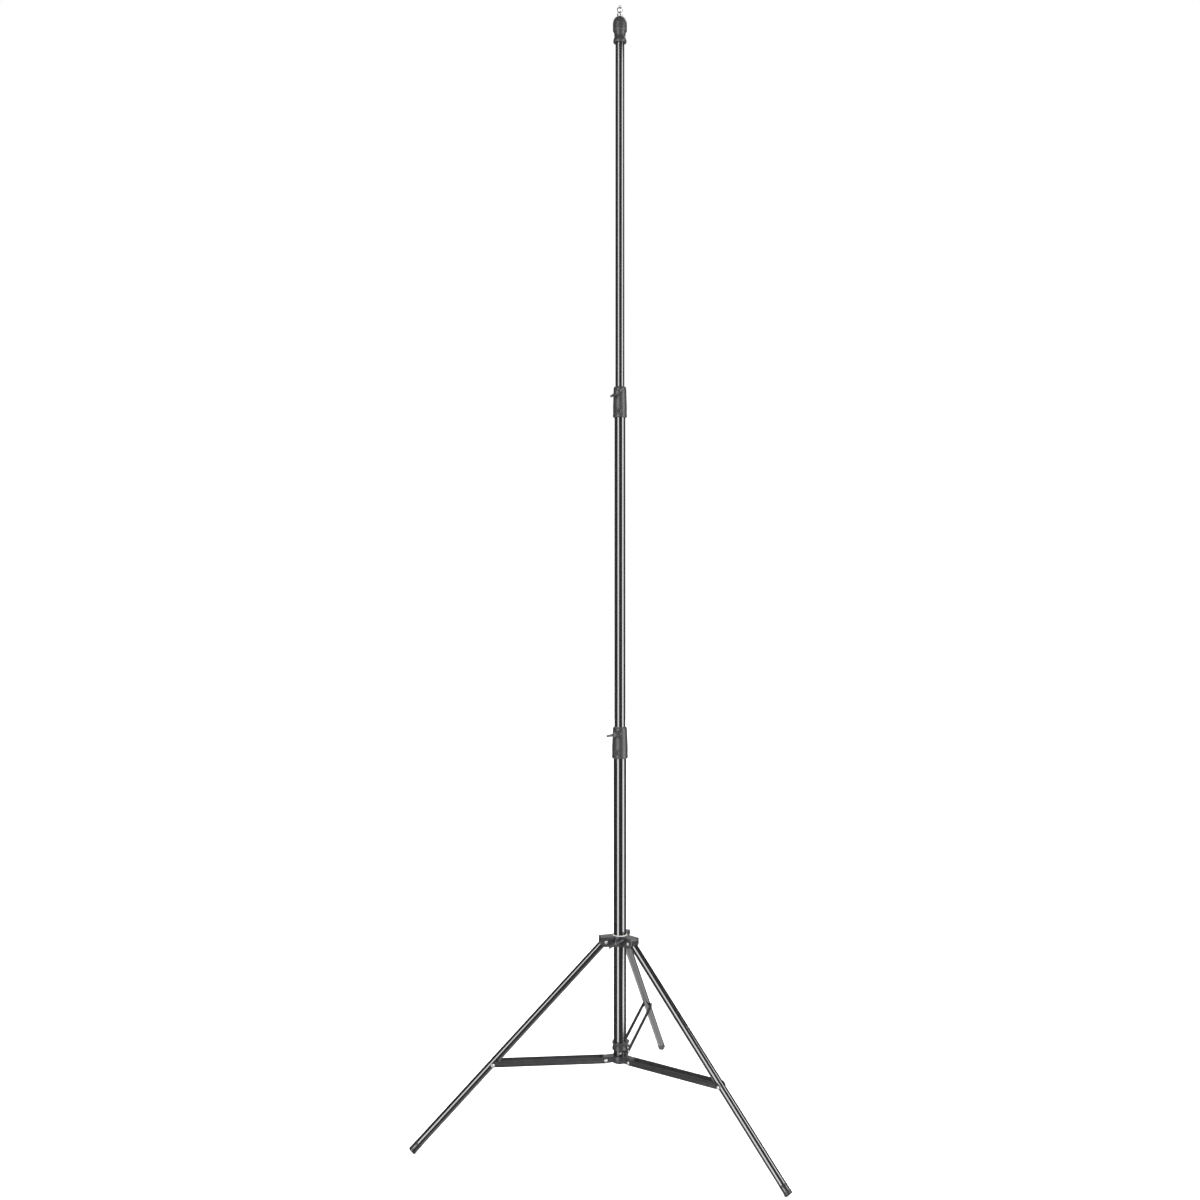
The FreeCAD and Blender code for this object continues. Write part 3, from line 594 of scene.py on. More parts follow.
class STAND_OT_tubes(bpy.types.Operator):
    """Model the three column tubes and the three leg tubes"""

    bl_idname = "stand.tubes"
    bl_label = "Tubes"

    def execute(self, context):
        sides = context.scene.stand_shapes.tube_sides
        enamel = gloss_enamel()
        roll = 0.4 * MM
        for node, body, wall in (("outer_tube", "column", 1.5), ("middle_tube", "mid", 1.5),
                                 ("upper_tube", "top", 1.2)):
            outer = radius(node)
            obj = open_tube(outer - wall * MM, outer, low(node).z, high(node).z, roll, sides)
            smooth(obj)
            finish(obj, node + ".skin", body, enamel, [node])
        leg_radius = (high("leg_c_tube").x - low("leg_c_tube").x) / 2
        start, end = self.leg_span()
        for leg in LEGS:
            obj = open_tube(leg_radius - 1.2 * MM, leg_radius, -end, -start, roll, sides)
            placed(obj, leg_seat(leg))
            smooth(obj)
            node = f"leg_{leg}_tube"
            finish(obj, node + ".skin", f"leg_{leg}", enamel, [node])
        return {"FINISHED"}

    @staticmethod
    def leg_span():
        """How far along leg C its tube starts and ends, measured from the pivot."""
        back = leg_seat("c").inverted()
        heights = [(back @ vertex.co).z for vertex in frame["nodes"]["leg_c_tube"].data.vertices]
        return -max(heights), -min(heights)


# ---------------------------------------------------------------- collars


class STAND_OT_collars(bpy.types.Operator):
    """Model the two clamp collars with their bosses"""

    bl_idname = "stand.collars"
    bl_label = "Clamp Collars"

    def execute(self, context):
        edge = context.scene.stand_shapes.edge
        nylon = moulded_nylon()
        for node, body, joint, bolt, tube in (
                ("lower_collar", "column", "lower_handle_turn", "lower_collar_bolt", "middle_tube"),
                ("upper_collar", "mid", "upper_handle_turn", "upper_collar_bolt", "upper_tube")):
            obj = self.collar(node, joint, bolt, tube, edge)
            smooth(obj)
            finish(obj, node + ".moulding", body, nylon, [node])
        return {"FINISHED"}

    def collar(self, node, joint, bolt, tube, edge):
        bottom, top = low(node).z, high(node).z
        foot = high(node).y
        mouth = foot - (2.6 if node == "lower_collar" else 2.0) * MM
        throat = radius(tube) + 1.5 * MM
        waist = (foot + mouth) / 2
        body = turned([
            (throat, bottom),
            *steps(foot, bottom, (-2.2, 0), (-0.7, 0.9), (0, 2.8), (0, 7), (-0.5, 8), (-0.3, 30)),
            (waist, top - 34 * MM),
            *steps(mouth, top, (0.2, -8), (-0.2, -3.5), (-1.4, -1.2), (-3, 0)),
            (throat, top),
        ], 96, bore=True)
        facing = axis(joint)
        screw = screw_seat(pivot(joint).z, facing)
        boss = turned([(9.4 * MM, throat + 1 * MM),
                       *steps(0, foot, (9.0, -0.5), (8.5, 1.5), (8.0, 3.1), (7.4, 3.5))], 40)
        low_boss = turned([(8.2 * MM, throat + 3 * MM),
                           *steps(0, foot, (7.8, -0.4), (7.2, 1.3), (6.6, 1.8))], 40)
        weld(body, placed(boss, screw))
        bolt_seat = screw_seat(middle(bolt).z, facing)
        weld(body, placed(low_boss, bolt_seat))
        cut(body, placed(drill(4.6 * MM, foot - 0.8 * MM, foot + 10 * MM), bolt_seat),
            placed(drill(4.15 * MM, throat - 3 * MM, foot + 10 * MM), screw))
        tidy_mesh(body)
        round_edges(body, edge * 0.5, 2, 40)
        return body


# ---------------------------------------------------------------- clamp handles


class STAND_OT_handles(bpy.types.Operator):
    """Model the three two-winged clamp handles"""

    bl_idname = "stand.handles"
    bl_label = "Clamp Handles"

    def execute(self, context):
        paint = painted_casting()
        thickness = context.scene.stand_shapes.wing_thickness
        for name in ("hub", "lower", "upper"):
            joint = f"{name}_handle_turn"
            node = f"{name}_tee"
            facing = axis(joint)
            wing = self.wing_direction(node, pivot(joint), facing)
            base, reach = self.span(node, pivot(joint), facing)
            obj = self.tee(reach - base, thickness)
            placed(obj, seat(pivot(joint) + facing * base, wing, facing))
            smooth(obj, 75)
            finish(obj, node + ".casting", f"{name}_handle", paint, [node])
        return {"FINISHED"}

    @staticmethod
    def span(node, origin, facing):
        """Nearest and farthest distance of a node along the screw's axis."""
        distances = [(vertex.co - origin).dot(facing) for vertex in frame["nodes"][node].data.vertices]
        return min(distances), max(distances)

    @staticmethod
    def wing_direction(node, origin, facing):
        """Direction from the screw's axis to the farthest wing tip."""
        best = Vector((0, 0, 0))
        for vertex in frame["nodes"][node].data.vertices:
            away = vertex.co - origin
            away -= facing * away.dot(facing)
            if away.length > best.length and away.z >= 0:
                best = away
        return best.normalized()

    def tee(self, height, thickness):
        """Cast T: a round hub and two wings that lift towards their tips, run together as in a sand mould."""
        hub = turned(steps(0, 0, (5.9, 0), (6.5, 0.6), (6.9, 3), (7.4, 6))
                     + steps(0, height, (7.3, -3.5), (6.2, -1.4), (4.4, -0.5), (2, -0.1)), 48)
        for side in (1, -1):
            weld(hub, self.wing(side, thickness))
        apply_modifier(hub, "REMESH", mode="VOXEL", voxel_size=0.42 * MM)
        apply_modifier(hub, "SMOOTH", factor=0.5, iterations=7)
        return hub

    @staticmethod
    def wing(side, thickness):
        """One wing, drawn out from its root in steps of (out, rise, narrower, taller)."""
        half = thickness / 2
        inner, outer = sorted((side * 2 * MM, side * 8 * MM))
        obj = block((inner, outer), (-half, half), (3.9 * MM, 10.6 * MM))
        edit(obj, "FACE")
        bpy.ops.mesh.select_all(action="DESELECT")
        mesh = bmesh.from_edit_mesh(obj.data)
        for face in mesh.faces:
            face.select = face.normal.x * side > 0.9
        bmesh.update_edit_mesh(obj.data)
        reach, level = 8 * MM, 7.25 * MM
        for out, rise, narrow, tall in ((6, 1.1, 0.94, 1.12), (5, 0.9, 0.96, 1.06), (3.6, 0.3, 0.94, 0.86),
                                        (2.2, 0.2, 0.7, 0.55)):
            bpy.ops.mesh.extrude_region_move(TRANSFORM_OT_translate={"value": (side * out * MM, 0, rise * MM)})
            reach += out * MM
            level += rise * MM
            bpy.ops.transform.resize(value=(1, narrow, tall), center_override=(side * reach, 0, level))
        leave_edit()
        round_edges(obj, 1.3 * MM, 3, 30)
        return obj


# ---------------------------------------------------------------- hubs


class STAND_OT_upper_hub(bpy.types.Operator):
    """Model the sliding hub with its three channel arms and its nylon bush"""

    bl_idname = "stand.upper_hub"
    bl_label = "Upper Hub"

    def execute(self, context):
        edge = context.scene.stand_shapes.edge
        bottom, top = low("upper_hub").z, high("upper_hub").z
        bore = radius("outer_tube") + 1.5 * MM
        ring = open_tube(bore, 24.5 * MM, bottom, top, 1 * MM, 72)
        height = pivot("leg_a_fold").z
        reach = high("upper_hub").y
        for leg in LEGS:
            arm = self.arm(bore, reach, bottom - height, top - height)
            weld(ring, placed(arm, arm_seat(leg, f"leg_{leg}_fold")))
        facing = axis("hub_handle_turn")
        screw = screw_seat(pivot("hub_handle_turn").z, facing)
        boss = turned([(9.6 * MM, bore + 2 * MM), *steps(0, 0, (9.0, 27), (8.5, 31.2), (7.6, 32))], 40)
        weld(ring, placed(boss, screw))
        cut(ring, placed(drill(4.15 * MM, bore - 4 * MM, 40 * MM), screw),
            drill(bore, bottom - 5 * MM, top + 5 * MM, 72))
        tidy_mesh(ring)
        round_edges(ring, edge * 0.8, 2, 40)
        smooth(ring)
        finish(ring, "upper_hub.casting", "hub", painted_casting(), ["upper_hub"])
        self.bush(bottom, top)
        return {"FINISHED"}

    @staticmethod
    def arm(bore, reach, bottom, top):
        """One channel arm, open below and at its lower end, so that the leg can swing."""
        half = 16 * MM
        arm = block((bore + 2 * MM, reach), (-half, half), (bottom + 1 * MM, top - 0.3 * MM))
        gap = 10.8 * MM
        slot = block((27.5 * MM, reach - 2.5 * MM), (-gap, gap), (bottom - 5 * MM, top - 2.8 * MM))
        mouth = block((reach - 4 * MM, reach + 5 * MM), (-gap, gap), (bottom - 5 * MM, 6 * MM))
        cut(arm, slot, mouth)
        slice_off(arm, (reach - 9 * MM, 0, bottom), Vector((11, 0, -9)))
        return arm

    @staticmethod
    def bush(bottom, top):
        """Nylon sleeve with a rounded flange on top of the hub."""
        inner = radius("outer_tube") + 0.3 * MM
        flange = radius("hub_bush")
        obj = turned([
            *steps(inner, bottom, (0, 0), (1.1, 0)),
            *steps(inner, top, (1.1, 0)),
            *steps(flange, top, (0, 0), (0, 0.9), (-0.6, 1.7), (-1.6, 2)),
            *steps(inner, top, (0.4, 2), (0, 1.6)),
        ], 96, bore=True)
        smooth(obj)
        finish(obj, "hub_bush.sleeve", "hub", natural_nylon(), ["hub_bush"])


class STAND_OT_lower_hub(bpy.types.Operator):
    """Model the fixed hub at the column's foot, its end plug and the stop ring above it"""

    bl_idname = "stand.lower_hub"
    bl_label = "Lower Hub"

    def execute(self, context):
        edge = context.scene.stand_shapes.edge
        paint = painted_casting()
        bottom, top = low("lower_hub").z, high("lower_hub").z
        bore = radius("outer_tube") + 0.05 * MM
        ring = open_tube(bore, 22.5 * MM, bottom, top, 1.5 * MM, 72)
        for leg in LEGS:
            weld(ring, placed(self.ear(leg, top), arm_seat(leg, f"brace_{leg}_fold")))
        cut(ring, drill(bore, bottom - 5 * MM, top + 5 * MM, 72))
        tidy_mesh(ring)
        round_edges(ring, edge * 0.7, 2, 40)
        smooth(ring)
        finish(ring, "lower_hub.casting", "column", paint, ["lower_hub"])
        self.plug()
        self.stop_ring(edge, paint)
        return {"FINISHED"}

    @staticmethod
    def ear(leg, top):
        """A solid ear with a round end about the brace's pivot."""
        place = pivot(f"brace_{leg}_fold")
        reach = Vector((place.x, place.y, 0)).length
        half_height = top - place.z
        half_width = 11.2 * MM
        ear = block((radius("outer_tube") + 2 * MM, reach + half_height), (-half_width, half_width),
                    (-half_height, half_height))
        round_corners(ear, lambda at, run: at.x > reach and abs(run.y) > half_width, half_height * 0.98, 8)
        return ear

    @staticmethod
    def plug():
        """Moulded plug that closes the column's foot, dished underneath."""
        rim = radius("column_end_plug")
        bottom, top = low("column_end_plug").z, high("column_end_plug").z
        obj = turned(steps(rim, bottom, (-9, 1.2), (-6, 0.3), (-3, 0), (-1.2, 0.2), (-0.3, 1), (0, 2), (0, 3),
                           (-1.6, 3)) + steps(rim, top, (-1.6, -1), (-2.6, 0)), 72)
        smooth(obj)
        finish(obj, "column_end_plug.moulding", "column", moulded_nylon(),
               ["column_end_plug"])

    @staticmethod
    def stop_ring(edge, paint):
        """Clamp ring with two raised bands, split and drawn together by a screw behind the column."""
        bottom, top = low("stop_ring").z, high("stop_ring").z
        bore = radius("outer_tube") + 0.05 * MM
        rim = 21.5 * MM
        ring = turned([
            (bore, bottom),
            *steps(rim, bottom, (-0.8, 0), (0, 0.8), (0, 5.5), (-0.5, 6.6), (-1.6, 7.5)),
            *steps(rim, top, (-1.6, -7.5), (-0.5, -6.6), (0, -5.5), (0, -0.8), (-0.8, 0)),
            (bore, top),
        ], 72, bore=True)
        place = seat(Vector((0, 0, (bottom + top) / 2)), outward(middle("stop_ring_screw")), UP)
        half = (top - bottom) / 2
        lug = block((bore + 1.5 * MM, rim + 8 * MM), (-5 * MM, 5 * MM), (1 * MM - half, half - 1 * MM))
        round_corners(lug, lambda at, run: at.x > rim and abs(run.y) > 5 * MM, 4 * MM, 5)
        weld(ring, placed(lug, place))
        split = block((bore - 3 * MM, rim + 12 * MM), (-1 * MM, 1 * MM), (-half - 5 * MM, half + 5 * MM))
        cut(ring, placed(split, place))
        hole = place @ Matrix.Translation((rim + 4 * MM, 0, 0)) @ ACROSS
        cut(ring, placed(drill(2.1 * MM, -8 * MM, 8 * MM, 20), hole))
        tidy_mesh(ring)
        round_edges(ring, edge * 0.4, 2, 40)
        smooth(ring)
        finish(ring, "stop_ring.casting", "column", paint, ["stop_ring"])


# ---------------------------------------------------------------- braces


class STAND_OT_braces(bpy.types.Operator):
    """Model the six brace bars, with round inner ends and a slanted cut at the knee"""

    bl_idname = "stand.braces"
    bl_label = "Braces"

    def execute(self, context):
        paint = painted_strip()
        edge = context.scene.stand_shapes.strip_edge
        for leg in LEGS:
            place = brace_seat(leg)
            back = place.inverted()
            span = (middle(f"brace_{leg}_rivets") - pivot(f"brace_{leg}_fold")).length
            for side in ("left", "right"):
                node = f"brace_{leg}_{side}"
                across = [(back @ vertex.co).y for vertex in frame["nodes"][node].data.vertices]
                obj = self.bar(span, min(across), max(across))
                placed(obj, place)
                round_edges(obj, edge, 2, 50)
                smooth(obj, 30)
                finish(obj, node + ".bar", f"brace_{leg}", paint, [node])
        return {"FINISHED"}

    @staticmethod
    def bar(span, near, far):
        """A flat bar 16 mm high whose far end narrows to a slanted tip about the knee rivet."""
        half = 8 * MM
        obj = block((-half, span + 6 * MM), (near, far), (-half, 11 * MM))
        slice_off(obj, (-half, 0, half), Vector((-2 * MM, 0, span - 4.6 * MM)))
        slice_off(obj, (-half, 0, -half), Vector((2.5 * MM, 0, -11 * MM - span)))
        slice_off(obj, (span + 6 * MM, 0, 1.5 * MM), Vector((8.5, 0, 18.6)))
        slice_off(obj, (span + 6 * MM, 0, 1.5 * MM), Vector((7, 0, -3)))
        along_y = (far - near) * 0.9
        round_corners(obj, lambda at, run: at.x < 0 and abs(run.y) > along_y, half * 0.95, 8)
        round_corners(obj, lambda at, run: at.x > span - 8 * MM and abs(run.y) > along_y, 3 * MM, 5)
        knee = Matrix.Translation((span, 0, 0)) @ ACROSS
        return cut(obj, placed(drill(3.1 * MM, near - 5 * MM, far + 5 * MM), ACROSS),
                   placed(drill(3.05 * MM, near - 5 * MM, far + 5 * MM), knee))


# ---------------------------------------------------------------- fasteners


def dome(outer, seat_height, rise, sides=32):
    """Outline of a domed rivet head that stands on seat_height."""
    return [
        (outer * 0.97, seat_height),
        (outer, seat_height + 0.25 * rise),
        (outer * 0.93, seat_height + 0.6 * rise),
        (outer * 0.74, seat_height + 0.85 * rise),
        (outer * 0.45, seat_height + 0.97 * rise),
        (outer * 0.12, seat_height + rise),
    ]


def domed_bolt(start, end, head_radius, head_height):
    """A plain 4 mm shank with a domed head, along Z."""
    under_head = end - head_height
    return turned([(2 * MM, start), (2 * MM, under_head)] + dome(head_radius, under_head, head_height), 32)


class STAND_OT_rivets(bpy.types.Operator):
    """Model the domed rivets at the hubs and knees"""

    bl_idname = "stand.rivets"
    bl_label = "Rivets"

    def execute(self, context):
        nickel = nickel_plate()
        for node, joint, body, half_grip in (("hub_pins", "leg_{}_fold", "hub", 16.0 * MM),
                                             ("lower_hub_pins", "brace_{}_fold", "column", 13.7 * MM)):
            pins = []
            for leg in LEGS:
                name = joint.format(leg)
                place = seat(pivot(name), outward(pivot(name)), axis(name))
                pins.append(placed(self.through_pin(half_grip), place))
            obj = joined(pins)
            smooth(obj, 50)
            finish(obj, node + ".rivets", body, nickel, [node])
        for leg in LEGS:
            place = brace_seat(leg)
            span = (middle(f"brace_{leg}_rivets") - pivot(f"brace_{leg}_fold")).length
            stubs = []
            for quarter in (-90, 90):
                stub = turned(steps(0, 0, (3, 11.5), (3, 13.5)) + dome(4.6 * MM, 13.5 * MM, 1.9 * MM), 32)
                stubs.append(placed(stub, place @ Matrix.Translation((span, 0, 0))
                                    @ Matrix.Rotation(math.radians(quarter), 4, "X")))
            obj = joined(stubs)
            smooth(obj, 50)
            finish(obj, f"brace_{leg}_rivets.rivets", f"brace_{leg}", nickel,
                   [f"brace_{leg}_rivets"])
        return {"FINISHED"}

    @staticmethod
    def through_pin(half_grip):
        """A pin with a domed head at each end, along Z."""
        head = dome(4.6 * MM, half_grip, 1.9 * MM)
        foot = [(r, -z) for r, z in reversed(head)]
        return turned(foot + [(3 * MM, -half_grip), (3 * MM, half_grip)] + head, 32)


class STAND_OT_screws(bpy.types.Operator):
    """Model the clamp screws, the collars' socket bolts and the two small screws at the column's foot"""

    bl_idname = "stand.screws"
    bl_label = "Screws"

    def execute(self, context):
        self.clamp_screws()
        self.socket_bolts()
        self.foot_screw()
        self.stop_screw()
        return {"FINISHED"}

    @staticmethod
    def clamp_screws():
        """Threaded rods that show between each clamp handle and its boss; the thread is drawn as rings."""
        zinc = zinc_plate()
        for name in ("hub", "lower", "upper"):
            joint = f"{name}_handle_turn"
            facing = axis(joint)
            start, end = STAND_OT_handles.span(f"{name}_screw", pivot(joint), facing)
            pitch = 1.25 * MM
            root, crest = 3.35 * MM, 3.92 * MM
            outline = [(3.3 * MM, start)]
            turns = int((end - start - 1 * MM) / pitch)
            for i in range(turns):
                foot = start + 0.5 * MM + i * pitch
                outline += [(root, foot), (crest, foot + pitch * 0.5), (root, foot + pitch * 0.98)]
            outline.append((3.3 * MM, end))
            obj = turned(outline, 24)
            placed(obj, screw_seat(pivot(joint).z, facing))
            smooth(obj, 20)
            finish(obj, f"{name}_screw.thread", f"{name}_handle", zinc, [f"{name}_screw"])

    @staticmethod
    def socket_bolts():
        """Button heads with a hexagon socket, sunk in the collars' lower bosses."""
        oxide = black_oxide()
        for node, joint, body in (("lower_collar_bolt", "lower_handle_turn", "column"),
                                  ("upper_collar_bolt", "upper_handle_turn", "mid")):
            facing = axis(joint)
            origin = Vector((0, 0, middle(node).z))
            start, end = STAND_OT_handles.span(node, origin, facing)
            obj = domed_bolt(start, end, 4.4 * MM, 2.6 * MM)
            cut(obj, turned([(1.6 * MM, end - 1.6 * MM), (1.6 * MM, end + 3 * MM)], 6))
            placed(obj, screw_seat(origin.z, facing))
            tidy_mesh(obj)
            smooth(obj, 30)
            finish(obj, node + ".socket", body, oxide, [node])

    @staticmethod
    def foot_screw():
        """Pan-head screw with a cross recess above the lower hub."""
        node = "lower_hub_screw"
        origin = Vector((0, 0, middle(node).z))
        facing = outward(middle(node))
        start, end = STAND_OT_handles.span(node, origin, facing)
        obj = domed_bolt(start, end, 3.6 * MM, 2.2 * MM)
        for wide, tall in ((2.1, 0.35), (0.35, 2.1)):
            cut(obj, block((-wide * MM, wide * MM), (-tall * MM, tall * MM), (end - 1.1 * MM, end + 2 * MM)))
        placed(obj, screw_seat(origin.z, facing))
        tidy_mesh(obj)
        smooth(obj, 30)
        finish(obj, node + ".pan_head", "column", zinc_plate(), [node])

    @staticmethod
    def stop_screw():
        """Cheese-head screw and hexagon nut through the stop ring's lugs."""
        node = "stop_ring_screw"
        out = outward(middle(node))
        centre = out * (21.5 * MM + 4 * MM) + Vector((0, 0, middle(node).z))
        screw = turned(steps(0, 0, (3.4, -7.4), (3.6, -7), (3.6, -5.2), (2, -5.2), (2, 7.3), (1.6, 7.3)), 28)
        cut(screw, block((-4 * MM, 4 * MM), (-0.5 * MM, 0.5 * MM), (-9 * MM, -6.3 * MM)))
        nut = turned(steps(0, 0, (2.02, 5.05), (3.4, 5.05), (3.8, 5.5), (3.8, 7), (3.4, 7.4), (2.02, 7.4)), 6,
                     bore=True)
        obj = placed(joined([screw, nut]), seat(centre, out, UP.cross(out)))
        smooth(obj, 30)
        finish(obj, node + ".screw", "column", zinc_plate(), [node])


# ---------------------------------------------------------------- boots


class STAND_OT_boots(bpy.types.Operator):
    """Model the three ribbed rubber boots, each with a flat where it meets the floor"""

    bl_idname = "stand.boots"
    bl_label = "Boots"

    def execute(self, context):
        rubber = boot_rubber()
        start, end, rim = self.measure()
        tube_radius = (high("leg_c_tube").x - low("leg_c_tube").x) / 2
        for leg in LEGS:
            outline = [(tube_radius, -start)]
            outline += steps(rim, -start, (-0.5, 0), (0, -0.7), (0, -2.6), (-0.35, -3.2))
            for i in range(3):
                outline += steps(rim, -start - (7.5 + 3.4 * i) * MM,
                                 (-0.35, 0), (-0.9, -0.5), (-0.9, -1.2), (-0.35, -1.7))
            outline += steps(rim, -end, (-0.1, 5), (0, 2.4), (-0.4, 1), (-1.6, 0.1), (-5, 0))
            obj = turned(outline, 72)
            placed(obj, leg_seat(leg))
            slice_off(obj, (0, 0, 0), Vector((0, 0, -1)))
            smooth(obj, 30)
            finish(obj, f"leg_{leg}_boot.moulding", f"leg_{leg}", rubber, [f"leg_{leg}_boot"])
        return {"FINISHED"}

    @staticmethod
    def measure():
        """Start, end and radius of boot C along its leg."""
        back = leg_seat("c").inverted()
        points = [back @ vertex.co for vertex in frame["nodes"]["leg_c_boot"].data.vertices]
        heights = [point.z for point in points]
        return -max(heights), -min(heights), max(abs(point.y) for point in points)


# ---------------------------------------------------------------- cap and spigot


class STAND_OT_cap(bpy.types.Operator):
    """Model the cap on the upper tube"""

    bl_idname = "stand.cap"
    bl_label = "Cap"

    def execute(self, context):
        bottom, top = low("top_cap").z, high("top_cap").z
        wide = high("top_cap").y
        tube = radius("upper_tube") + 0.05 * MM
        stud = 7.0 * MM
        shoulder = bottom + 51 * MM
        rise = top - shoulder
        outline = [(tube, bottom)]
        outline += steps(tube, bottom, (4.2, 0), (5.4, 1.2), (5.9, 4), (5.7, 8), (4.6, 11.5), (3.5, 14.5),
                         (2.95, 18), (3.1, 22), (3.7, 26), (4.4, 30.6), (5.9, 31.6), (6.8, 33.2))
        outline += [(wide - 0.1 * MM, bottom + 38 * MM), (wide, shoulder - 4 * MM)]
        quarter = 9
        for i in range(quarter + 1):
            turn = i / quarter * math.radians(80)
            outline.append((stud + 1.4 * MM + (wide - stud - 1.4 * MM) * math.cos(turn),
                            shoulder + rise * math.sin(turn)))
        outline += [(stud + 1.2 * MM, top), (stud, top), (stud, top - 17 * MM), (tube, top - 17.6 * MM)]
        obj = turned(outline, 96, bore=True)
        smooth(obj)
        finish(obj, "top_cap.moulding", "top", moulded_nylon(), ["top_cap"])
        return {"FINISHED"}


class STAND_OT_spigot(bpy.types.Operator):
    """Model the waisted stud and its threaded tip"""

    bl_idname = "stand.spigot"
    bl_label = "Spigot"

    def execute(self, context):
        pitch = context.scene.stand_shapes.thread_pitch
        bottom, top = low("spigot").z, high("spigot").z
        stud = radius("spigot")
        waist = stud - 1.4 * MM
        shoulder = top - 9 * MM
        outline = [
            (stud - 1 * MM, bottom),
            *steps(stud, top, (-1, -34), (0, -34)),
            (stud, shoulder - 17 * MM),
            *steps(waist, shoulder, (0.2, -15.2), (0, -14.4), (0, -8.6), (0.2, -7.8)),
            *steps(stud, shoulder, (0, -6), (0, -1.2), (-0.4, -0.3), (-1.2, 0)),
            (2.5 * MM, shoulder),
        ]
        crests = int((top - shoulder - 1 * MM) / pitch)
        for i in range(crests):
            foot = shoulder + 0.3 * MM + i * pitch
            outline += [(2.45 * MM, foot), (3.15 * MM, foot + 0.42 * pitch), (3.15 * MM, foot + 0.56 * pitch)]
        outline += [(2.45 * MM, top - 0.7 * MM), (1.9 * MM, top)]
        obj = turned(outline, 64)
        smooth(obj, 30)
        finish(obj, "spigot.turned", "top", turned_chrome(), ["spigot"])
        return {"FINISHED"}


# ---------------------------------------------------------------- pieces kept from the frame


class STAND_OT_kept_pieces(bpy.types.Operator):
    """Give the pieces kept from the frame their materials"""

    bl_idname = "stand.kept_pieces"
    bl_label = "Kept Pieces"

    def execute(self, context):
        finishes = (
            (natural_nylon(), ["lower_collar_bush", "upper_collar_bush", "middle_piston", "upper_piston"]),
            (boot_rubber(), ["middle_seal", "upper_seal"]),
            (turned_brass(), ["hub_shoe", "lower_collar_shoe", "upper_collar_shoe"]),
            (moulded_nylon(), [f"leg_{leg}_knuckle" for leg in LEGS]),
            (nickel_plate(), [f"leg_{leg}_sleeve" for leg in LEGS]),
            (zinc_plate(), ["cap_pin"] + [f"brace_{leg}_washers" for leg in LEGS]),
        )
        for material, nodes in finishes:
            for node in nodes:
                mesh = frame["nodes"][node].data
                mesh.materials.clear()
                mesh.materials.append(material)
        return {"FINISHED"}


# ---------------------------------------------------------------- stage


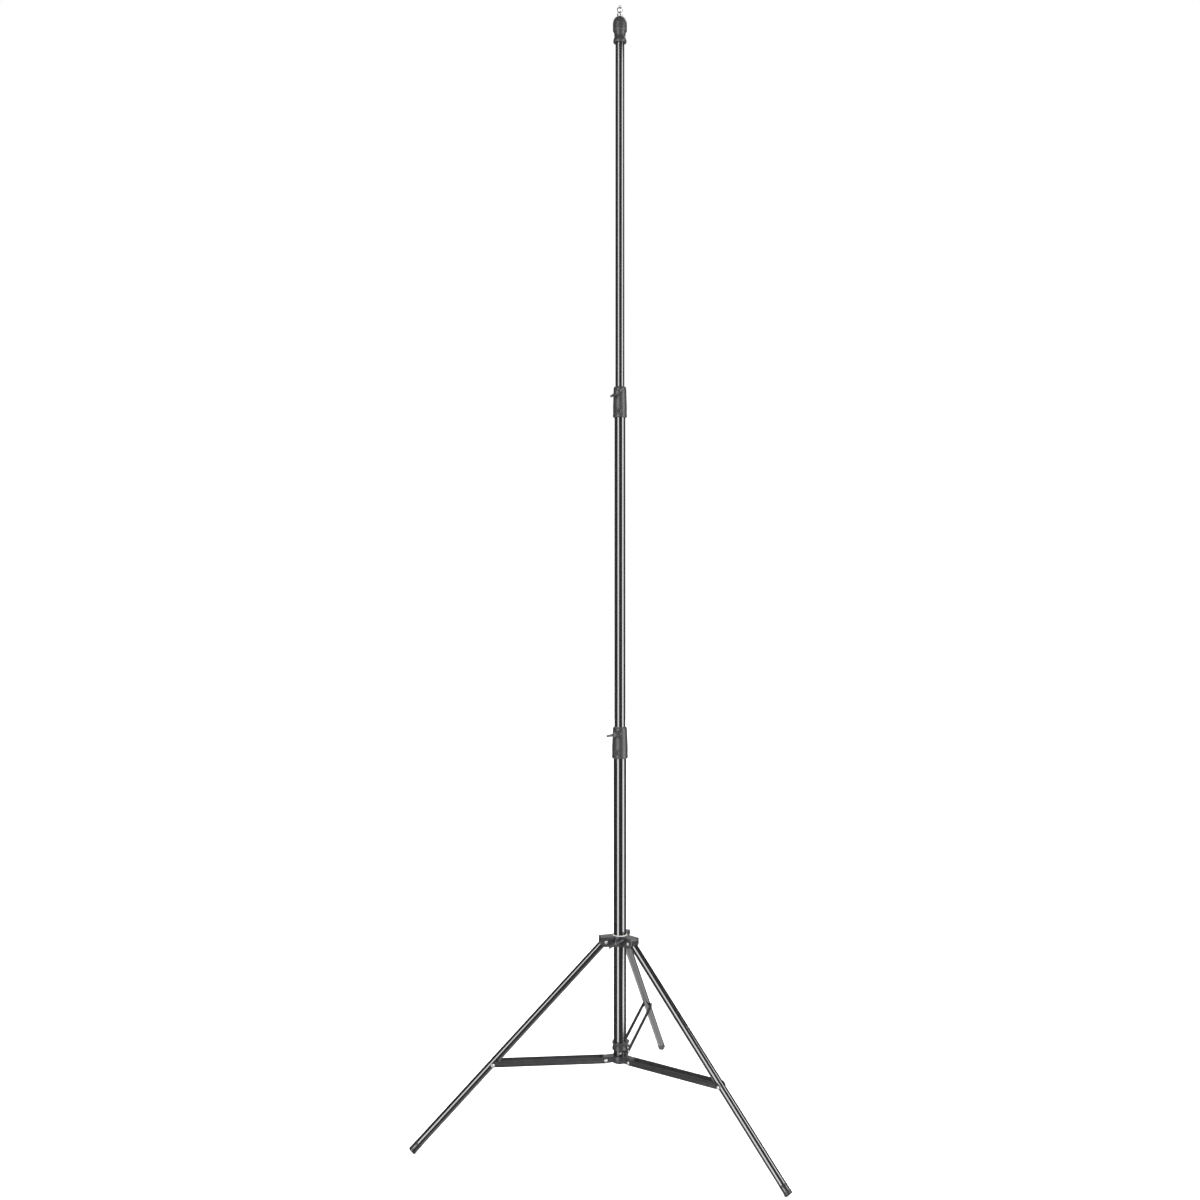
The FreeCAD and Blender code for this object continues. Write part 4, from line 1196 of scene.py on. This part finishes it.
class STAND_OT_stage(bpy.types.Operator):
    """Set up the floor, the room, two tall strip lights and the camera"""

    bl_idname = "stand.stage"
    bl_label = "Stage"

    def execute(self, context):
        look = context.scene.stand_stage
        context.scene.view_settings.view_transform = "Standard"
        self.floor()
        self.room(look)
        self.strip_light("key strip", look.camera_azimuth, -35.0, 31.0, (-0.95, 4.25), look.key_power)
        self.strip_light("rim strip", look.camera_azimuth, 66.0, 35.0, (-0.85, 4.2), look.rim_power)
        self.overhead()
        self.camera(look)
        return {"FINISHED"}

    @staticmethod
    def floor():
        clear_selection()
        bpy.ops.mesh.primitive_circle_add(vertices=96, radius=9, fill_type="NGON", location=(0, 0, 0))
        obj = bpy.context.object
        obj.name = "floor"
        material, tree = new_material("pale floor paint")
        place = add_node(tree, "ShaderNodeTexCoord")
        # Broad, faint patches about half a metre across keep the floor from being quite flat.
        patches = add_node(tree, "ShaderNodeTexNoise", None,
                           {"Scale": 2.0, "Detail": 2.0, "Roughness": 0.5},
                           {"Vector": (place, "Object")})
        colour = add_node(tree, "ShaderNodeMix", {"data_type": "RGBA"},
                          {"A": linear("#f7f7f7"), "B": linear("#fbfbfb")}, {"Factor": (patches, "Fac")})
        glow = {"Emission Strength": 0.35, "Emission Color": linear("#ffffff")}
        paint = add_node(tree, "ShaderNodeBsdfPrincipled", None, {"Roughness": 0.9, **glow},
                         {"Base Color": (colour, "Result")})
        add_node(tree, "ShaderNodeOutputMaterial", None, None, {"Surface": (paint, "BSDF")})
        obj.data.materials.append(material)
        obj.visible_glossy = False

    @staticmethod
    def room(look):
        """A white room that looks dim in anything glossy, but for its floor and the top of the far wall."""
        world = bpy.data.worlds.new("white room")
        bpy.context.scene.world = world
        world.use_nodes = True
        tree = world.node_tree
        tree.nodes.clear()
        place = add_node(tree, "ShaderNodeTexCoord")
        direction = add_node(tree, "ShaderNodeSeparateXYZ", None, None, {"Vector": (place, "Generated")})
        floor = add_node(tree, "ShaderNodeMapRange", None,
                         {"From Min": -0.35, "From Max": -0.6,
                          "To Min": look.surround, "To Max": look.floor_glow},
                         {"Value": (direction, "Z")})
        # The far wall's top lies ahead of the camera, 40 degrees up.
        ahead = Vector((-math.sin(look.camera_azimuth), math.cos(look.camera_azimuth), 0))
        upwards = ahead * math.cos(math.radians(40)) + Vector((0, 0, math.sin(math.radians(40))))
        nearness = add_node(tree, "ShaderNodeVectorMath", {"operation": "DOT_PRODUCT"}, {1: upwards},
                            {0: (place, "Generated")})
        glow = add_node(tree, "ShaderNodeMapRange", None,
                        {"From Min": 0.72, "From Max": 0.95, "To Min": 0.0, "To Max": look.back_glow},
                        {"Value": (nearness, "Value")})
        dim = add_node(tree, "ShaderNodeMath", {"operation": "ADD"}, None,
                       {0: (floor, "Result"), 1: (glow, "Result")})
        path = add_node(tree, "ShaderNodeLightPath")
        strength = add_node(tree, "ShaderNodeMix", None, None,
                            {"Factor": (path, "Is Glossy Ray"), "B": (dim, "Value")})
        strength.inputs["A"].default_value = 1.0
        sky = add_node(tree, "ShaderNodeBackground", None, {"Color": (1, 1, 1, 1)},
                       {"Strength": (strength, "Result")})
        add_node(tree, "ShaderNodeOutputWorld", None, None, {"Surface": (sky, "Background")})

    @staticmethod
    def strip_light(name, camera_azimuth, offset, spread_angle, heights, power):
        """A tall soft box, seen in the tubes as one pale line. Angles are degrees right of the camera."""
        distance = 3.0
        angle = camera_azimuth + math.radians(offset)
        place = Vector((math.sin(angle), -math.cos(angle), 0)) * distance + Vector((0, 0, sum(heights) / 2))
        light = bpy.data.lights.new(name, "AREA")
        light.shape = "RECTANGLE"
        light.size = 2 * distance * math.tan(math.radians(spread_angle / 2))
        light.size_y = heights[1] - heights[0]
        light.energy = power
        obj = bpy.data.objects.new(name, light)
        bpy.context.scene.collection.objects.link(obj)
        obj.location = place
        facing = Vector((-place.x, -place.y, 0))
        obj.rotation_euler = facing.to_track_quat("-Z", "Y").to_euler()
        obj.visible_camera = False

    @staticmethod
    def overhead():
        """Broad soft light from above, for the tops of the hubs and braces."""
        light = bpy.data.lights.new("overhead", "AREA")
        light.shape = "DISK"
        light.size = 2.5
        light.energy = 60
        obj = bpy.data.objects.new("overhead", light)
        bpy.context.scene.collection.objects.link(obj)
        obj.location = (0.0, 1.6, 4.4)

    @staticmethod
    def camera(look):
        data = bpy.data.cameras.new("camera")
        data.lens = look.lens
        data.shift_x = look.shift_x
        data.shift_y = look.shift_y
        data.clip_end = 100
        obj = bpy.data.objects.new("camera", data)
        bpy.context.scene.collection.objects.link(obj)
        obj.location = look.camera_place
        ahead = Vector((-math.sin(look.camera_azimuth), math.cos(look.camera_azimuth), 0))
        obj.rotation_euler = ahead.to_track_quat("-Z", "Y").to_euler()
        bpy.context.scene.camera = obj


# ---------------------------------------------------------------- panel and registration

PIECE_OPERATORS = (
    STAND_OT_tubes,
    STAND_OT_collars,
    STAND_OT_handles,
    STAND_OT_upper_hub,
    STAND_OT_lower_hub,
    STAND_OT_braces,
    STAND_OT_rivets,
    STAND_OT_screws,
    STAND_OT_boots,
    STAND_OT_cap,
    STAND_OT_spigot,
    STAND_OT_kept_pieces,
    STAND_OT_stage,
)


class STAND_PT_pieces(bpy.types.Panel):
    """Lists the stand's pieces and settings"""

    bl_idname = "STAND_PT_pieces"
    bl_label = "Lighting Stand"
    bl_space_type = "VIEW_3D"
    bl_region_type = "UI"
    bl_category = "Stand"

    def draw(self, context):
        layout = self.layout
        for group in (context.scene.stand_finishes, context.scene.stand_shapes, context.scene.stand_stage):
            box = layout.box()
            for name in group.__annotations__:
                box.prop(group, name)
        for operator in PIECE_OPERATORS:
            layout.operator(operator.bl_idname)


CLASSES = (StandFinishes, StandShapes, StandStage) + PIECE_OPERATORS + (STAND_PT_pieces,)


def register():
    for item in CLASSES:
        bpy.utils.register_class(item)
    bpy.types.Scene.stand_finishes = PointerProperty(type=StandFinishes)
    bpy.types.Scene.stand_shapes = PointerProperty(type=StandShapes)
    bpy.types.Scene.stand_stage = PointerProperty(type=StandStage)


def unregister():
    del bpy.types.Scene.stand_stage
    del bpy.types.Scene.stand_shapes
    del bpy.types.Scene.stand_finishes
    for item in reversed(CLASSES):
        bpy.utils.unregister_class(item)


def main():
    register()
    clear_selection()
    bpy.ops.stand.tubes()
    bpy.ops.stand.collars()
    bpy.ops.stand.handles()
    bpy.ops.stand.upper_hub()
    bpy.ops.stand.lower_hub()
    bpy.ops.stand.braces()
    bpy.ops.stand.rivets()
    bpy.ops.stand.screws()
    bpy.ops.stand.boots()
    bpy.ops.stand.cap()
    bpy.ops.stand.spigot()
    bpy.ops.stand.kept_pieces()
    bpy.ops.stand.stage()


if __name__ == "__main__":
    main()
